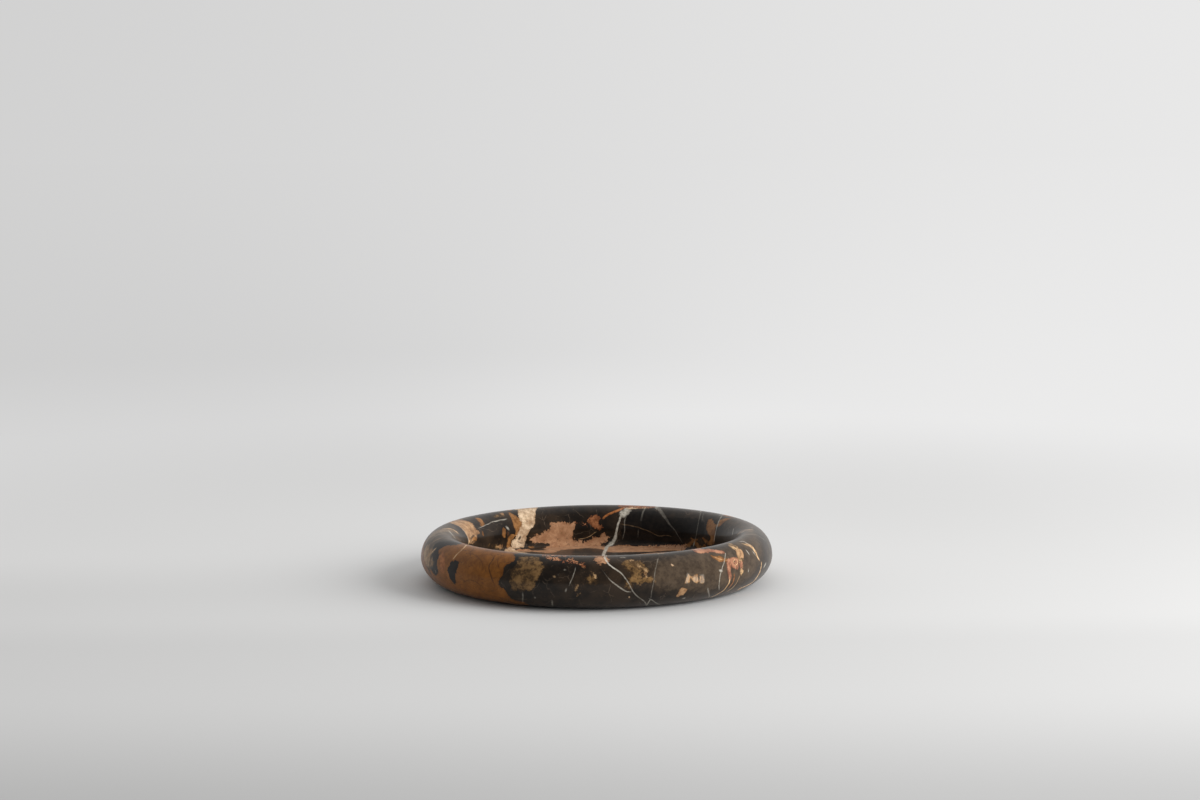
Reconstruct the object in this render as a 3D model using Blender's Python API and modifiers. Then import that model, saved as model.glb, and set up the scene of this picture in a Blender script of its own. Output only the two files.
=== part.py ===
"""Round stone tray, turned from one slab and standing on four self-adhesive pads.

All sizes are in metres. +Z is up, and the origin lies on the table, under the middle of the tray.
Run it with: blender --background --python part.py
"""

import math

import bmesh
import bpy

# Stone: outer sizes and the rounded rim
TRAY_DIAMETER = 0.2000
RIM_WIDTH = 0.0245
STONE_HEIGHT = 0.0279
CREST_RISE = 0.0145

# Stone: the dish
FLOOR_THICKNESS = 0.0055
DISH_FILLET_RADIUS = 0.0040

# Shape of the rim's section: 2 is an ellipse, and less is flatter and more tapered
CROWN_EXPONENT = 2.0
FLANK_EXPONENT = 1.75

# Pads under the stone
PAD_COUNT = 4
PAD_DIAMETER = 0.0140
PAD_THICKNESS = 0.0008
PAD_EDGE_CHAMFER = 0.0001
PAD_EDGE_INSET = 0.0100
ADHESIVE_GAP = 0.0003
FIRST_PAD_ANGLE = math.radians(45)

# Fineness of the round surfaces
TURN_STEPS = 96
CROWN_STEPS = 8
FLANK_STEPS = 9
FILLET_STEPS = 4
PAD_SIDES = 32
SMOOTH_ANGLE = math.radians(30)
MERGE_DISTANCE = 0.00005

# Finishes: a linear colour and a roughness each
STONE_COLOUR = (0.055, 0.038, 0.027)
STONE_ROUGHNESS = 0.38
PAD_COLOUR = (0.03, 0.03, 0.03)
PAD_ROUGHNESS = 0.85
METALLIC = 0

# Places worked out from the sizes above
TRAY_RADIUS = TRAY_DIAMETER / 2
RIM_HALF_WIDTH = RIM_WIDTH / 2
CREST_RADIUS = TRAY_RADIUS - RIM_HALF_WIDTH
DISH_WALL_RADIUS = TRAY_RADIUS - RIM_WIDTH
UNDERSIDE_Z = PAD_THICKNESS + ADHESIVE_GAP
CREST_Z = UNDERSIDE_Z + STONE_HEIGHT
WIDEST_Z = CREST_Z - CREST_RISE
DISH_FLOOR_Z = UNDERSIDE_Z + FLOOR_THICKNESS
PAD_CIRCLE_RADIUS = CREST_RADIUS - PAD_EDGE_INSET - PAD_DIAMETER / 2


def quadrant(centre, half_width, half_height, exponent, steps):
    """A quarter of a superellipse, from its side to its top or foot. Signed half sizes pick which one."""
    points = []
    for step in range(steps + 1):
        angle = math.pi / 2 * step / steps
        across = math.cos(angle) ** (2 / exponent) if step < steps else 0
        along = math.sin(angle) ** (2 / exponent) if step else 0
        points.append((centre[0] + half_width * across, centre[1] + half_height * along))
    return points


def stone_profile():
    """Half section of the stone: dish floor, wall, rim, tapered flank and flat underside."""
    rim_centre = (CREST_RADIUS, WIDEST_Z)
    fillet_centre = (DISH_WALL_RADIUS - DISH_FILLET_RADIUS, DISH_FLOOR_Z + DISH_FILLET_RADIUS)
    fillet = quadrant(fillet_centre, DISH_FILLET_RADIUS, -DISH_FILLET_RADIUS, CROWN_EXPONENT, FILLET_STEPS)
    inner_crown = quadrant(rim_centre, -RIM_HALF_WIDTH, CREST_RISE, CROWN_EXPONENT, CROWN_STEPS)
    outer_crown = quadrant(rim_centre, RIM_HALF_WIDTH, CREST_RISE, CROWN_EXPONENT, CROWN_STEPS)
    flank = quadrant(rim_centre, RIM_HALF_WIDTH, UNDERSIDE_Z - WIDEST_Z, FLANK_EXPONENT, FLANK_STEPS)
    return (
        [(0, DISH_FLOOR_Z)]
        + fillet[::-1]
        + inner_crown
        + outer_crown[-2::-1]
        + flank[1:]
        + [(0, UNDERSIDE_Z)]
    )


def make_collection(name):
    """A collection linked to the scene."""
    collection = bpy.data.collections.new(name)
    bpy.context.scene.collection.children.link(collection)
    return collection


def make_material(name, colour, roughness):
    """A Principled BSDF with one colour."""
    material = bpy.data.materials.new(name)
    material.use_nodes = True
    shader = material.node_tree.nodes["Principled BSDF"]
    shader.inputs["Base Color"].default_value = (*colour, 1)
    shader.inputs["Roughness"].default_value = roughness
    shader.inputs["Metallic"].default_value = METALLIC
    material.diffuse_color = (*colour, 1)
    return material


def place(name, mesh, collection, parent, location=(0, 0, 0)):
    """An object for a mesh, in a collection and under a parent."""
    thing = bpy.data.objects.new(name, mesh)
    thing.parent = parent
    thing.location = location
    collection.objects.link(thing)
    return thing


def make_stone(material, collection, parent):
    """The turned stone: a profile swept round the tray's axis."""
    profile = stone_profile()
    mesh = bpy.data.meshes.new("stone_body")
    mesh.from_pydata([(x, 0, z) for x, z in profile], [(i, i + 1) for i in range(len(profile) - 1)], [])
    mesh.materials.append(material)
    stone = place("stone_body", mesh, collection, parent)
    turn = stone.modifiers.new("turn", "SCREW")
    turn.axis = "Z"
    turn.angle = math.tau
    turn.steps = TURN_STEPS
    turn.render_steps = TURN_STEPS
    turn.use_merge_vertices = True
    turn.merge_threshold = MERGE_DISTANCE
    turn.use_smooth_shade = True


def make_pad_mesh(material):
    """The mesh that the pads share: a thin disc, centred on its own middle."""
    shape = bmesh.new()
    bmesh.ops.create_cone(
        shape,
        cap_ends=True,
        segments=PAD_SIDES,
        radius1=PAD_DIAMETER / 2,
        radius2=PAD_DIAMETER / 2,
        depth=PAD_THICKNESS,
    )
    mesh = bpy.data.meshes.new("pad")
    shape.to_mesh(mesh)
    shape.free()
    mesh.shade_smooth()
    mesh.set_sharp_from_angle(angle=SMOOTH_ANGLE)
    mesh.materials.append(material)
    return mesh


def make_pads(material, collection, parent):
    """The pads, evenly spaced on a circle inside the stone's flat underside."""
    mesh = make_pad_mesh(material)
    for index in range(PAD_COUNT):
        angle = FIRST_PAD_ANGLE + math.tau * index / PAD_COUNT
        location = (
            PAD_CIRCLE_RADIUS * math.cos(angle),
            PAD_CIRCLE_RADIUS * math.sin(angle),
            PAD_THICKNESS / 2,
        )
        pad = place(f"foot_pad_{index + 1}", mesh, collection, parent, location)
        soften = pad.modifiers.new("soften", "BEVEL")
        soften.width = PAD_EDGE_CHAMFER
        soften.segments = 1
        soften.limit_method = "ANGLE"
        soften.angle_limit = SMOOTH_ANGLE


def main():
    """Clears the scene and builds the tray."""
    for thing in list(bpy.data.objects):
        bpy.data.objects.remove(thing, do_unlink=True)
    collection = make_collection("stone_tray")
    tray = bpy.data.objects.new("tray_origin", None)
    collection.objects.link(tray)
    make_stone(make_material("dark_marble", STONE_COLOUR, STONE_ROUGHNESS), collection, tray)
    make_pads(make_material("pad_rubber", PAD_COLOUR, PAD_ROUGHNESS), collection, tray)


main()
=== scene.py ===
"""Looks of the round stone tray: honed dark marble on thin rubber pads, in soft light on a pale floor.

Lengths are in metres unless a name ends in _mm. A place in the photograph is a pixel of its 1200 x 800
frame, and a place out of its view is an azimuth in degrees and a run in millimetres, counted along the
stone's section from the middle of the dish, over the rim, to the middle of the underside.
"""

import logging
import math
from dataclasses import dataclass, field
from enum import Enum

import bpy
import numpy as np
from mathutils import Matrix, Vector
from mathutils.bvhtree import BVHTree
from mathutils.kdtree import KDTree


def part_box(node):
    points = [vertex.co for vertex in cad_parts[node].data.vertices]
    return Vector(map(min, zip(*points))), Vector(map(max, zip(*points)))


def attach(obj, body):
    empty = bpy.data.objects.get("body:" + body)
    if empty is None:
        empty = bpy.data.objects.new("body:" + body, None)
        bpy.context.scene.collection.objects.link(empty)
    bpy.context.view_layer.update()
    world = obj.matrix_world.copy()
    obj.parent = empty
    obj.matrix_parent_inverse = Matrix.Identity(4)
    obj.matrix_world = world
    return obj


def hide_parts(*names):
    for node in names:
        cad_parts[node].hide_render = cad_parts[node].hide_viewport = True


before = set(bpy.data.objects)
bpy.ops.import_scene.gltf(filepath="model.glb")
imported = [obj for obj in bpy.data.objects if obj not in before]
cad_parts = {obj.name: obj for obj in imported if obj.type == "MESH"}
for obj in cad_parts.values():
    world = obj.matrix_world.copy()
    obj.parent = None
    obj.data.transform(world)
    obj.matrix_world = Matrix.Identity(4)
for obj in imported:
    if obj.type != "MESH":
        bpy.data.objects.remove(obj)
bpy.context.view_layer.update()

MM = 0.001
MICRON = MM * MM
LOG = logging.getLogger("stone_tray")
TURN_STEPS = 576
VEINING_SEED = 7
NOISE_MIDDLE = 0.5

Colour = tuple[float, float, float]
Pixel = tuple[float, float]
Step = tuple[float, float]
Grain = tuple[float, float, float]
Profile = float | tuple[float, ...]


@dataclass(frozen=True)
class Wire:
    """An output socket. Python's operators on it add Math nodes to its board."""

    board: "Board"
    socket: bpy.types.NodeSocket

    def __add__(self, other: "Number") -> "Wire":
        """Sum."""
        return self.board.maths("ADD", self, other)

    def __radd__(self, other: float) -> "Wire":
        """Sum, with the number first."""
        return self.board.maths("ADD", other, self)

    def __sub__(self, other: "Number") -> "Wire":
        """Difference."""
        return self.board.maths("SUBTRACT", self, other)

    def __rsub__(self, other: float) -> "Wire":
        """Difference, with the number first."""
        return self.board.maths("SUBTRACT", other, self)

    def __mul__(self, other: "Number") -> "Wire":
        """Product."""
        return self.board.maths("MULTIPLY", self, other)

    def __rmul__(self, other: float) -> "Wire":
        """Product, with the number first."""
        return self.board.maths("MULTIPLY", other, self)

    def __rtruediv__(self, other: float) -> "Wire":
        """A number divided by the wire."""
        return self.board.maths("DIVIDE", other, self)

    def __pow__(self, other: "Number") -> "Wire":
        """Power."""
        return self.board.maths("POWER", self, other)

    def __neg__(self) -> "Wire":
        """Opposite."""
        return self.board.maths("MULTIPLY", self, -1)

    def __abs__(self) -> "Wire":
        """Size without the sign."""
        return self.board.maths("ABSOLUTE", self)

    def least(self, other: "Number") -> "Wire":
        """The smaller of two values."""
        return self.board.maths("MINIMUM", self, other)

    def most(self, other: "Number") -> "Wire":
        """The larger of two values."""
        return self.board.maths("MAXIMUM", self, other)

    def rise(self, low: float, high: float) -> "Wire":
        """A smooth step from 0 at low to 1 at high. With low above high it falls."""
        settings = {"interpolation_type": "SMOOTHSTEP"}
        values = {"Value": self, "From Min": min(low, high), "From Max": max(low, high)}
        rising = self.board.node("ShaderNodeMapRange", settings, values).wire("Result")
        return rising if low < high else 1 - rising


Number = Wire | float


@dataclass(frozen=True)
class Part:
    """A node on a board, whose outputs are taken as wires."""

    board: "Board"
    node: bpy.types.Node

    def wire(self, output: str | int = 0) -> Wire:
        """The output of that name or number."""
        return Wire(self.board, self.node.outputs[output])


class Board:
    """A node tree that is wired from Python expressions."""

    # Sockets of a Mix node that mixes colours
    mix_inputs = (0, 6, 7)
    mix_output = 2

    def __init__(self, tree: bpy.types.NodeTree) -> None:
        """Empties the tree.

        Args:
            tree: The shader or geometry tree to build on.
        """
        self.tree = tree
        tree.nodes.clear()

    def node(self, kind: str, settings: dict | None = None, inputs: dict | None = None) -> Part:
        """Adds one node.

        Args:
            kind: The node's type.
            settings: Its properties. They are set first, because some of them decide its sockets.
            inputs: A value or a wire for each input socket, by name or number.

        Returns:
            The new node.
        """
        node = self.tree.nodes.new(kind)
        for name, value in (settings or {}).items():
            setattr(node, name, value)
        for name, value in (inputs or {}).items():
            if isinstance(value, Wire):
                self.tree.links.new(value.socket, node.inputs[name])
            elif value is not None:
                node.inputs[name].default_value = value
        return Part(self, node)

    def maths(self, operation: str, *values: Number) -> Wire:
        """A Math node on one to three values."""
        inputs = dict(enumerate(values))
        return self.node("ShaderNodeMath", {"operation": operation}, inputs).wire()

    def vector_maths(self, operation: str, *values: Wire | Vector, output: str = "Vector") -> Wire:
        """A Vector Math node on one or two vectors."""
        inputs = dict(enumerate(values))
        return self.node("ShaderNodeVectorMath", {"operation": operation}, inputs).wire(output)

    def axes(self, vector: Wire) -> Part:
        """A vector split into X, Y and Z."""
        return self.node("ShaderNodeSeparateXYZ", {}, {0: vector})

    def attribute(self, name: str) -> Part:
        """The X, Y and Z of a vector attribute of the mesh."""
        return self.axes(self.node("ShaderNodeAttribute", {"attribute_name": name}).wire("Vector"))

    def scaled(self, vector: Wire | Vector, factor: Number) -> Wire:
        """A vector times a number."""
        inputs = {0: vector, "Scale": factor}
        return self.node("ShaderNodeVectorMath", {"operation": "SCALE"}, inputs).wire()

    def noise(self, place: Wire, grain: Grain) -> Part:
        """Noise from 0 to 1 about 0.5. Its grain is a size in millimetres, a detail and a roughness."""
        size_mm, detail, roughness = grain
        inputs = {"Vector": place, "Scale": 1 / (size_mm * MM), "Detail": detail, "Roughness": roughness}
        return self.node("ShaderNodeTexNoise", {}, inputs)

    def cells(self, place: Wire, size_mm: float, feature: str = "F1") -> Wire:
        """Distance to the middles or the edges of cells that are about size_mm across."""
        inputs = {"Vector": place, "Scale": 1 / (size_mm * MM)}
        return self.node("ShaderNodeTexVoronoi", {"feature": feature}, inputs).wire("Distance")

    def channels(self, part: Part) -> list[Wire]:
        """The three channels of a noise's colour, as three unlike noises."""
        split = self.node("ShaderNodeSeparateColor", {}, {0: part.wire("Color")})
        return [split.wire(number) for number in range(3)]

    def blend(self, factor: Number, first: Wire | Colour, second: Wire | Colour) -> Wire:
        """Mixes two colours."""
        first = first if isinstance(first, Wire) else (*first, 1)
        second = second if isinstance(second, Wire) else (*second, 1)
        inputs = dict(zip(self.mix_inputs, (factor, first, second)))
        return self.node("ShaderNodeMix", {"data_type": "RGBA"}, inputs).wire(self.mix_output)

    def tint(self, colour: Colour, strength: Number) -> Wire:
        """A colour times a number."""
        return self.scaled(Vector(colour), strength)

    def bump(self, strength: float, depth: float, height: Wire) -> Wire:
        """Normals of a fine relief that is depth metres deep."""
        inputs = {"Strength": strength, "Distance": depth, "Height": height}
        return self.node("ShaderNodeBump", {}, inputs).wire("Normal")

    def close(self, shader: str, inputs: dict, output: str = "ShaderNodeOutputMaterial") -> None:
        """Ends a shader tree in a shader and an output node."""
        self.node(output, {}, {"Surface": self.node(shader, {}, inputs).wire()})


def weighed(shares: tuple[float, ...], *wires: Wire) -> Wire:
    """Sum of wires, each times its share."""
    total, *others = [wire * share for wire, share in zip(wires, shares)]
    for other in others:
        total = total + other
    return total


def new_material(name: str) -> tuple[bpy.types.Material, Board, Wire]:
    """A new material, its empty board and the place on the object."""
    material = bpy.data.materials.new(name)
    material.use_nodes = True
    board = Board(material.node_tree)
    return material, board, board.node("ShaderNodeTexCoord").wire("Object")


@dataclass(frozen=True)
class PhotoCamera:
    """The photograph's camera, as the tray's outline fixes it."""

    lens_mm: float = 70.0
    sensor_mm: float = 36.0
    frame_px: Pixel = (1200, 800)
    subject_height: float = 0.01527
    subject_px: Pixel = (596.62, 552.60)
    distance: float = 1.33429
    elevation: float = math.radians(10.0393)
    roll: float = math.radians(-0.4249)

    @property
    def focal_px(self) -> float:
        """Focal length in pixels of the photograph."""
        return self.lens_mm / self.sensor_mm * self.frame_px[0]

    @property
    def location(self) -> Vector:
        """Where the camera stands."""
        back = Vector((0, -math.cos(self.elevation), math.sin(self.elevation)))
        return Vector((0, 0, self.subject_height)) + back * self.distance

    @property
    def turn(self) -> Matrix:
        """Rotation from the camera's own axes to the world's."""
        level = Matrix.Rotation(math.pi / 2 - self.elevation, 3, "X")
        across = self.subject_px[0] - self.frame_px[0] / 2
        down = self.subject_px[1] - self.frame_px[1] / 2
        plain = Matrix.Rotation(self.roll, 2) @ Vector((across, -down))
        pitch = Matrix.Rotation(math.atan2(-plain.y, self.focal_px), 3, "X")
        yaw = Matrix.Rotation(math.atan2(plain.x, math.hypot(self.focal_px, plain.y)), 3, "Y")
        return level @ pitch @ yaw @ Matrix.Rotation(self.roll, 3, "Z")

    def ray(self, pixel: Pixel) -> Vector:
        """The direction in which a pixel of the photograph looks."""
        across = pixel[0] - self.frame_px[0] / 2
        up = self.frame_px[1] / 2 - pixel[1]
        return (self.turn @ Vector((across, up, -self.focal_px))).normalized()

    def make(self) -> None:
        """Adds the camera and makes it the scene's own."""
        data = bpy.data.cameras.new("photo_camera")
        data.lens = self.lens_mm
        data.sensor_width = self.sensor_mm
        camera = bpy.data.objects.new("photo_camera", data)
        camera.matrix_world = Matrix.Translation(self.location) @ self.turn.to_4x4()
        bpy.context.scene.collection.objects.link(camera)
        bpy.context.scene.camera = camera


@dataclass(frozen=True)
class Stretch:
    """One stretch of the stone's section: a straight, or a quarter of a superellipse."""

    start: tuple[float, float]
    end: tuple[float, float]
    centre: tuple[float, float] | None = None
    exponent: float = 2.0
    rings: int = 1

    def at(self, share: float) -> tuple[float, float]:
        """The radius and height at a share of the stretch."""
        if self.centre is None:
            return tuple(a + (b - a) * share for a, b in zip(self.start, self.end))
        angle = math.pi / 2 * share
        fall = max(math.cos(angle), 0) ** (2 / self.exponent)
        climb = max(math.sin(angle), 0) ** (2 / self.exponent)
        return tuple(
            c + (a - c) * fall + (b - c) * climb for a, b, c in zip(self.start, self.end, self.centre)
        )


@dataclass(frozen=True)
class Section:
    """The stone's section, as the CAD model has it."""

    radius: float
    underside: float
    crest: float
    rim_width: float = 0.0245
    crest_rise: float = 0.0145
    floor_thickness: float = 0.0055
    fillet: float = 0.0040
    flank_exponent: float = 1.75
    rim_ring: float = 0.0009
    floor_ring: float = 0.0015
    underside_ring: float = 0.0034

    def stretches(self) -> list[Stretch]:
        """The section from the middle of the dish to the middle of the underside."""
        wall = self.radius - self.rim_width
        inner = wall - self.fillet
        crown = self.radius - self.rim_width / 2
        widest = self.crest - self.crest_rise
        floor = self.underside + self.floor_thickness
        lifted = floor + self.fillet
        quarter = math.pi / 2
        round_rings = self.count(self.crest_rise * quarter, self.rim_ring)
        fillet_rings = self.count(self.fillet * quarter, self.rim_ring)
        wall_rings = self.count(widest - floor - self.fillet, self.rim_ring)
        top, side, foot = (crown, self.crest), (self.radius, widest), (crown, self.underside)
        centre = (crown, widest)
        return [
            Stretch((0, floor), (inner, floor), rings=self.count(wall, self.floor_ring)),
            Stretch((inner, floor), (wall, lifted), (inner, lifted), rings=fillet_rings),
            Stretch((wall, lifted), (wall, widest), rings=wall_rings),
            Stretch((wall, widest), top, centre, rings=round_rings),
            Stretch(top, side, centre, rings=round_rings),
            Stretch(side, foot, centre, self.flank_exponent, rings=round_rings),
            Stretch(foot, (0, self.underside), rings=self.count(crown, self.underside_ring)),
        ]

    @staticmethod
    def count(length: float, spacing: float) -> int:
        """How many rings of that spacing a length takes."""
        return max(2, math.ceil(length / spacing))

    def table(self, steps: int = 600) -> np.ndarray:
        """Rows of radius, height and run along the section, closely spaced."""
        spots = [stretch.at(i / steps) for stretch in self.stretches() for i in range(steps + 1)]
        spots = np.array(spots)
        run = np.concatenate([[0], np.cumsum(np.hypot(*np.diff(spots, axis=0).T))])
        return np.column_stack([spots, run])


class PieceTree:
    """A Geometry Nodes tree with named inputs, which bakes into a plain mesh."""

    def __init__(self, name: str) -> None:
        """Starts an empty tree.

        Args:
            name: The tree's name.
        """
        self.values: dict[str, object] = {}
        self.tree = bpy.data.node_groups.new(name, "GeometryNodeTree")
        self.board = Board(self.tree)
        self.tree.interface.new_socket("Geometry", in_out="OUTPUT", socket_type="NodeSocketGeometry")
        self.entry = self.board.node("NodeGroupInput")

    def ask(self, name: str, kind: str, value: object) -> Wire:
        """Adds a named input and remembers its value."""
        socket = self.tree.interface.new_socket(name, in_out="INPUT", socket_type=kind)
        self.values[socket.identifier] = value
        return self.entry.wire(name)

    def ask_number(self, name: str, value: float) -> Wire:
        """Adds an input for a length, an angle or an exponent."""
        return self.ask(name, "NodeSocketFloat", value)

    def ask_count(self, name: str, value: int) -> Wire:
        """Adds an input for a count."""
        return self.ask(name, "NodeSocketInt", value)

    def step(self, kind: str, inputs: dict) -> Wire:
        """Adds a node and takes its first output."""
        return self.board.node(kind, {}, inputs).wire()

    def close(self, geometry: Wire, material: bpy.types.Material | None) -> None:
        """Realizes the instances, sets the material and ends the tree."""
        real = self.step("GeometryNodeRealizeInstances", {"Geometry": geometry})
        finish = self.ask("Material", "NodeSocketMaterial", material)
        dressed = self.step("GeometryNodeSetMaterial", {"Geometry": real, "Material": finish})
        self.board.node("NodeGroupOutput", {}, {"Geometry": dressed})

    def bake(self, name: str) -> bpy.types.Object:
        """Evaluates the tree into a plain mesh.

        Args:
            name: The piece's name.

        Returns:
            The new object, at the origin.
        """
        holder = bpy.data.objects.new(name + "_tree", bpy.data.meshes.new(name + "_tree"))
        bpy.context.scene.collection.objects.link(holder)
        modifier = holder.modifiers.new("tree", "NODES")
        modifier.node_group = self.tree
        for identifier, value in self.values.items():
            if value is not None:
                modifier[identifier] = value
        shown = holder.evaluated_get(bpy.context.evaluated_depsgraph_get())
        mesh = bpy.data.meshes.new_from_object(shown)
        mesh.name = name
        bpy.data.objects.remove(holder, do_unlink=True)
        solid = bpy.data.objects.new(name, mesh)
        bpy.context.scene.collection.objects.link(solid)
        return solid


class TurnedSolid(PieceTree):
    """A tree that sweeps a section round the tray's axis."""

    def __init__(self, section: Section, steps: int) -> None:
        """Builds the tree, from the section's curves to the finished solid.

        Args:
            section: The section to sweep.
            steps: Vertices round each ring.
        """
        super().__init__("turned_solid")
        path_radius = self.ask_number("Path Radius", section.radius)
        join = self.board.node("GeometryNodeJoinGeometry")
        for number, stretch in reversed(list(enumerate(section.stretches(), 1))):
            curve = self.stretch_curve(f"Stretch {number}", stretch, path_radius)
            self.tree.links.new(curve.socket, join.node.inputs[0])
        count = self.ask_count("Turn Steps", steps)
        path = self.step("GeometryNodeCurvePrimitiveCircle", {"Resolution": count, "Radius": path_radius})
        swept = self.step("GeometryNodeCurveToMesh", {"Curve": path, "Profile Curve": join.wire()})
        distance = self.ask_number("Merge Distance", MICRON)
        whole = self.step("GeometryNodeMergeByDistance", {"Geometry": swept, "Distance": distance})
        self.close(self.step("GeometryNodeSetShadeSmooth", {"Geometry": whole}), None)

    def stretch_curve(self, label: str, stretch: Stretch, path_radius: Wire) -> Wire:
        """One stretch as a curve in the path's own plane.

        Args:
            label: Start of the names of its inputs.
            stretch: Its ends, centre and exponent.
            path_radius: Radius of the circle that the section is swept along.

        Returns:
            The curve.
        """
        start = self.ask_spot(f"{label} Start", stretch.start)
        end = self.ask_spot(f"{label} End", stretch.end)
        count = self.ask_count(f"{label} Rings", stretch.rings) + 1
        line = self.step("GeometryNodeCurvePrimitiveLine", {"End": (1, 0, 0)})
        fine = self.step("GeometryNodeResampleCurve", {"Curve": line, "Count": count})
        share = self.board.node("GeometryNodeSplineParameter").wire("Factor")
        if stretch.centre is None:
            spot = [a + (b - a) * share for a, b in zip(start, end)]
        else:
            centre = self.ask_spot(f"{label} Centre", stretch.centre)
            power = 2 / self.ask_number(f"{label} Exponent", stretch.exponent)
            angle = share * (math.pi / 2)
            fall = self.board.maths("COSINE", angle).most(0) ** power
            climb = self.board.maths("SINE", angle).most(0) ** power
            spot = [c + (a - c) * fall + (b - c) * climb for a, b, c in zip(start, end, centre)]
        place = self.step("ShaderNodeCombineXYZ", {"X": spot[0] - path_radius, "Y": -spot[1]})
        return self.step("GeometryNodeSetPosition", {"Geometry": fine, "Position": place})

    def ask_spot(self, name: str, spot: tuple[float, float]) -> list[Wire]:
        """Adds inputs for a radius and a height."""
        return [self.ask_number(f"{name} {axis}", value) for axis, value in zip("RZ", spot)]


class Tone(Enum):
    """The kinds of stone in the patches. Three at a time share a vector attribute."""

    OCHRE = 0
    OLIVE = 1
    SALMON = 2
    CREAM = 3
    TAN = 4
    GOLD = 5
    RUST = 6
    PINK = 7
    BLACK = 8
    # Lighter brown stone; over both ends it is also a painted sheen of the light on them
    BROWN_AND_SHEEN = 9
    ORANGE = 10
    FLECK = 11

    @property
    def attribute(self) -> str:
        """The vector attribute that holds the tone's reach."""
        return f"patch_{self.value // 3}"


class Fill(Enum):
    """What a vein is filled with."""

    WHITE = "white"
    DARK = "dark"
    RUST = "rust"
    GOLD = "gold"


class Side(Enum):
    """Which surface a pixel of the photograph picks."""

    FIRST = "first"
    RIM = "rim"
    DISH = "dish"


@dataclass(frozen=True)
class Polar:
    """A place on the stone out of the photograph's view."""

    azimuth: float
    run_mm: float


Spot = Pixel | Polar


def polar(*pairs: tuple[float, float]) -> tuple[Polar, ...]:
    """Places from pairs of azimuth and run."""
    return tuple(Polar(*pair) for pair in pairs)


def plan(*pairs: tuple[float, float]) -> tuple[Polar, ...]:
    """Places on the dish floor from pairs of x and y in millimetres."""
    return tuple(Polar(math.degrees(math.atan2(y, x)), math.hypot(x, y)) for x, y in pairs)


@dataclass(frozen=True)
class Blot:
    """A patch of one tone, bounded by a smooth closed line through its corners. A crisp one frays less."""

    tone: Tone
    corners: tuple[Spot, ...]
    side: Side = Side.FIRST
    crisp: float = 1.0


@dataclass(frozen=True)
class Vein:
    """A thin filled crack, drawn through its spots. Its widths and strengths are spread evenly along it."""

    fill: Fill
    widths_mm: Profile
    spots: tuple[Spot, ...]
    side: Side = Side.FIRST
    strengths: Profile = 1.0
    fades_mm: float | tuple[float, float] = 2.0
    waver_mm: float = 0.22


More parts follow.
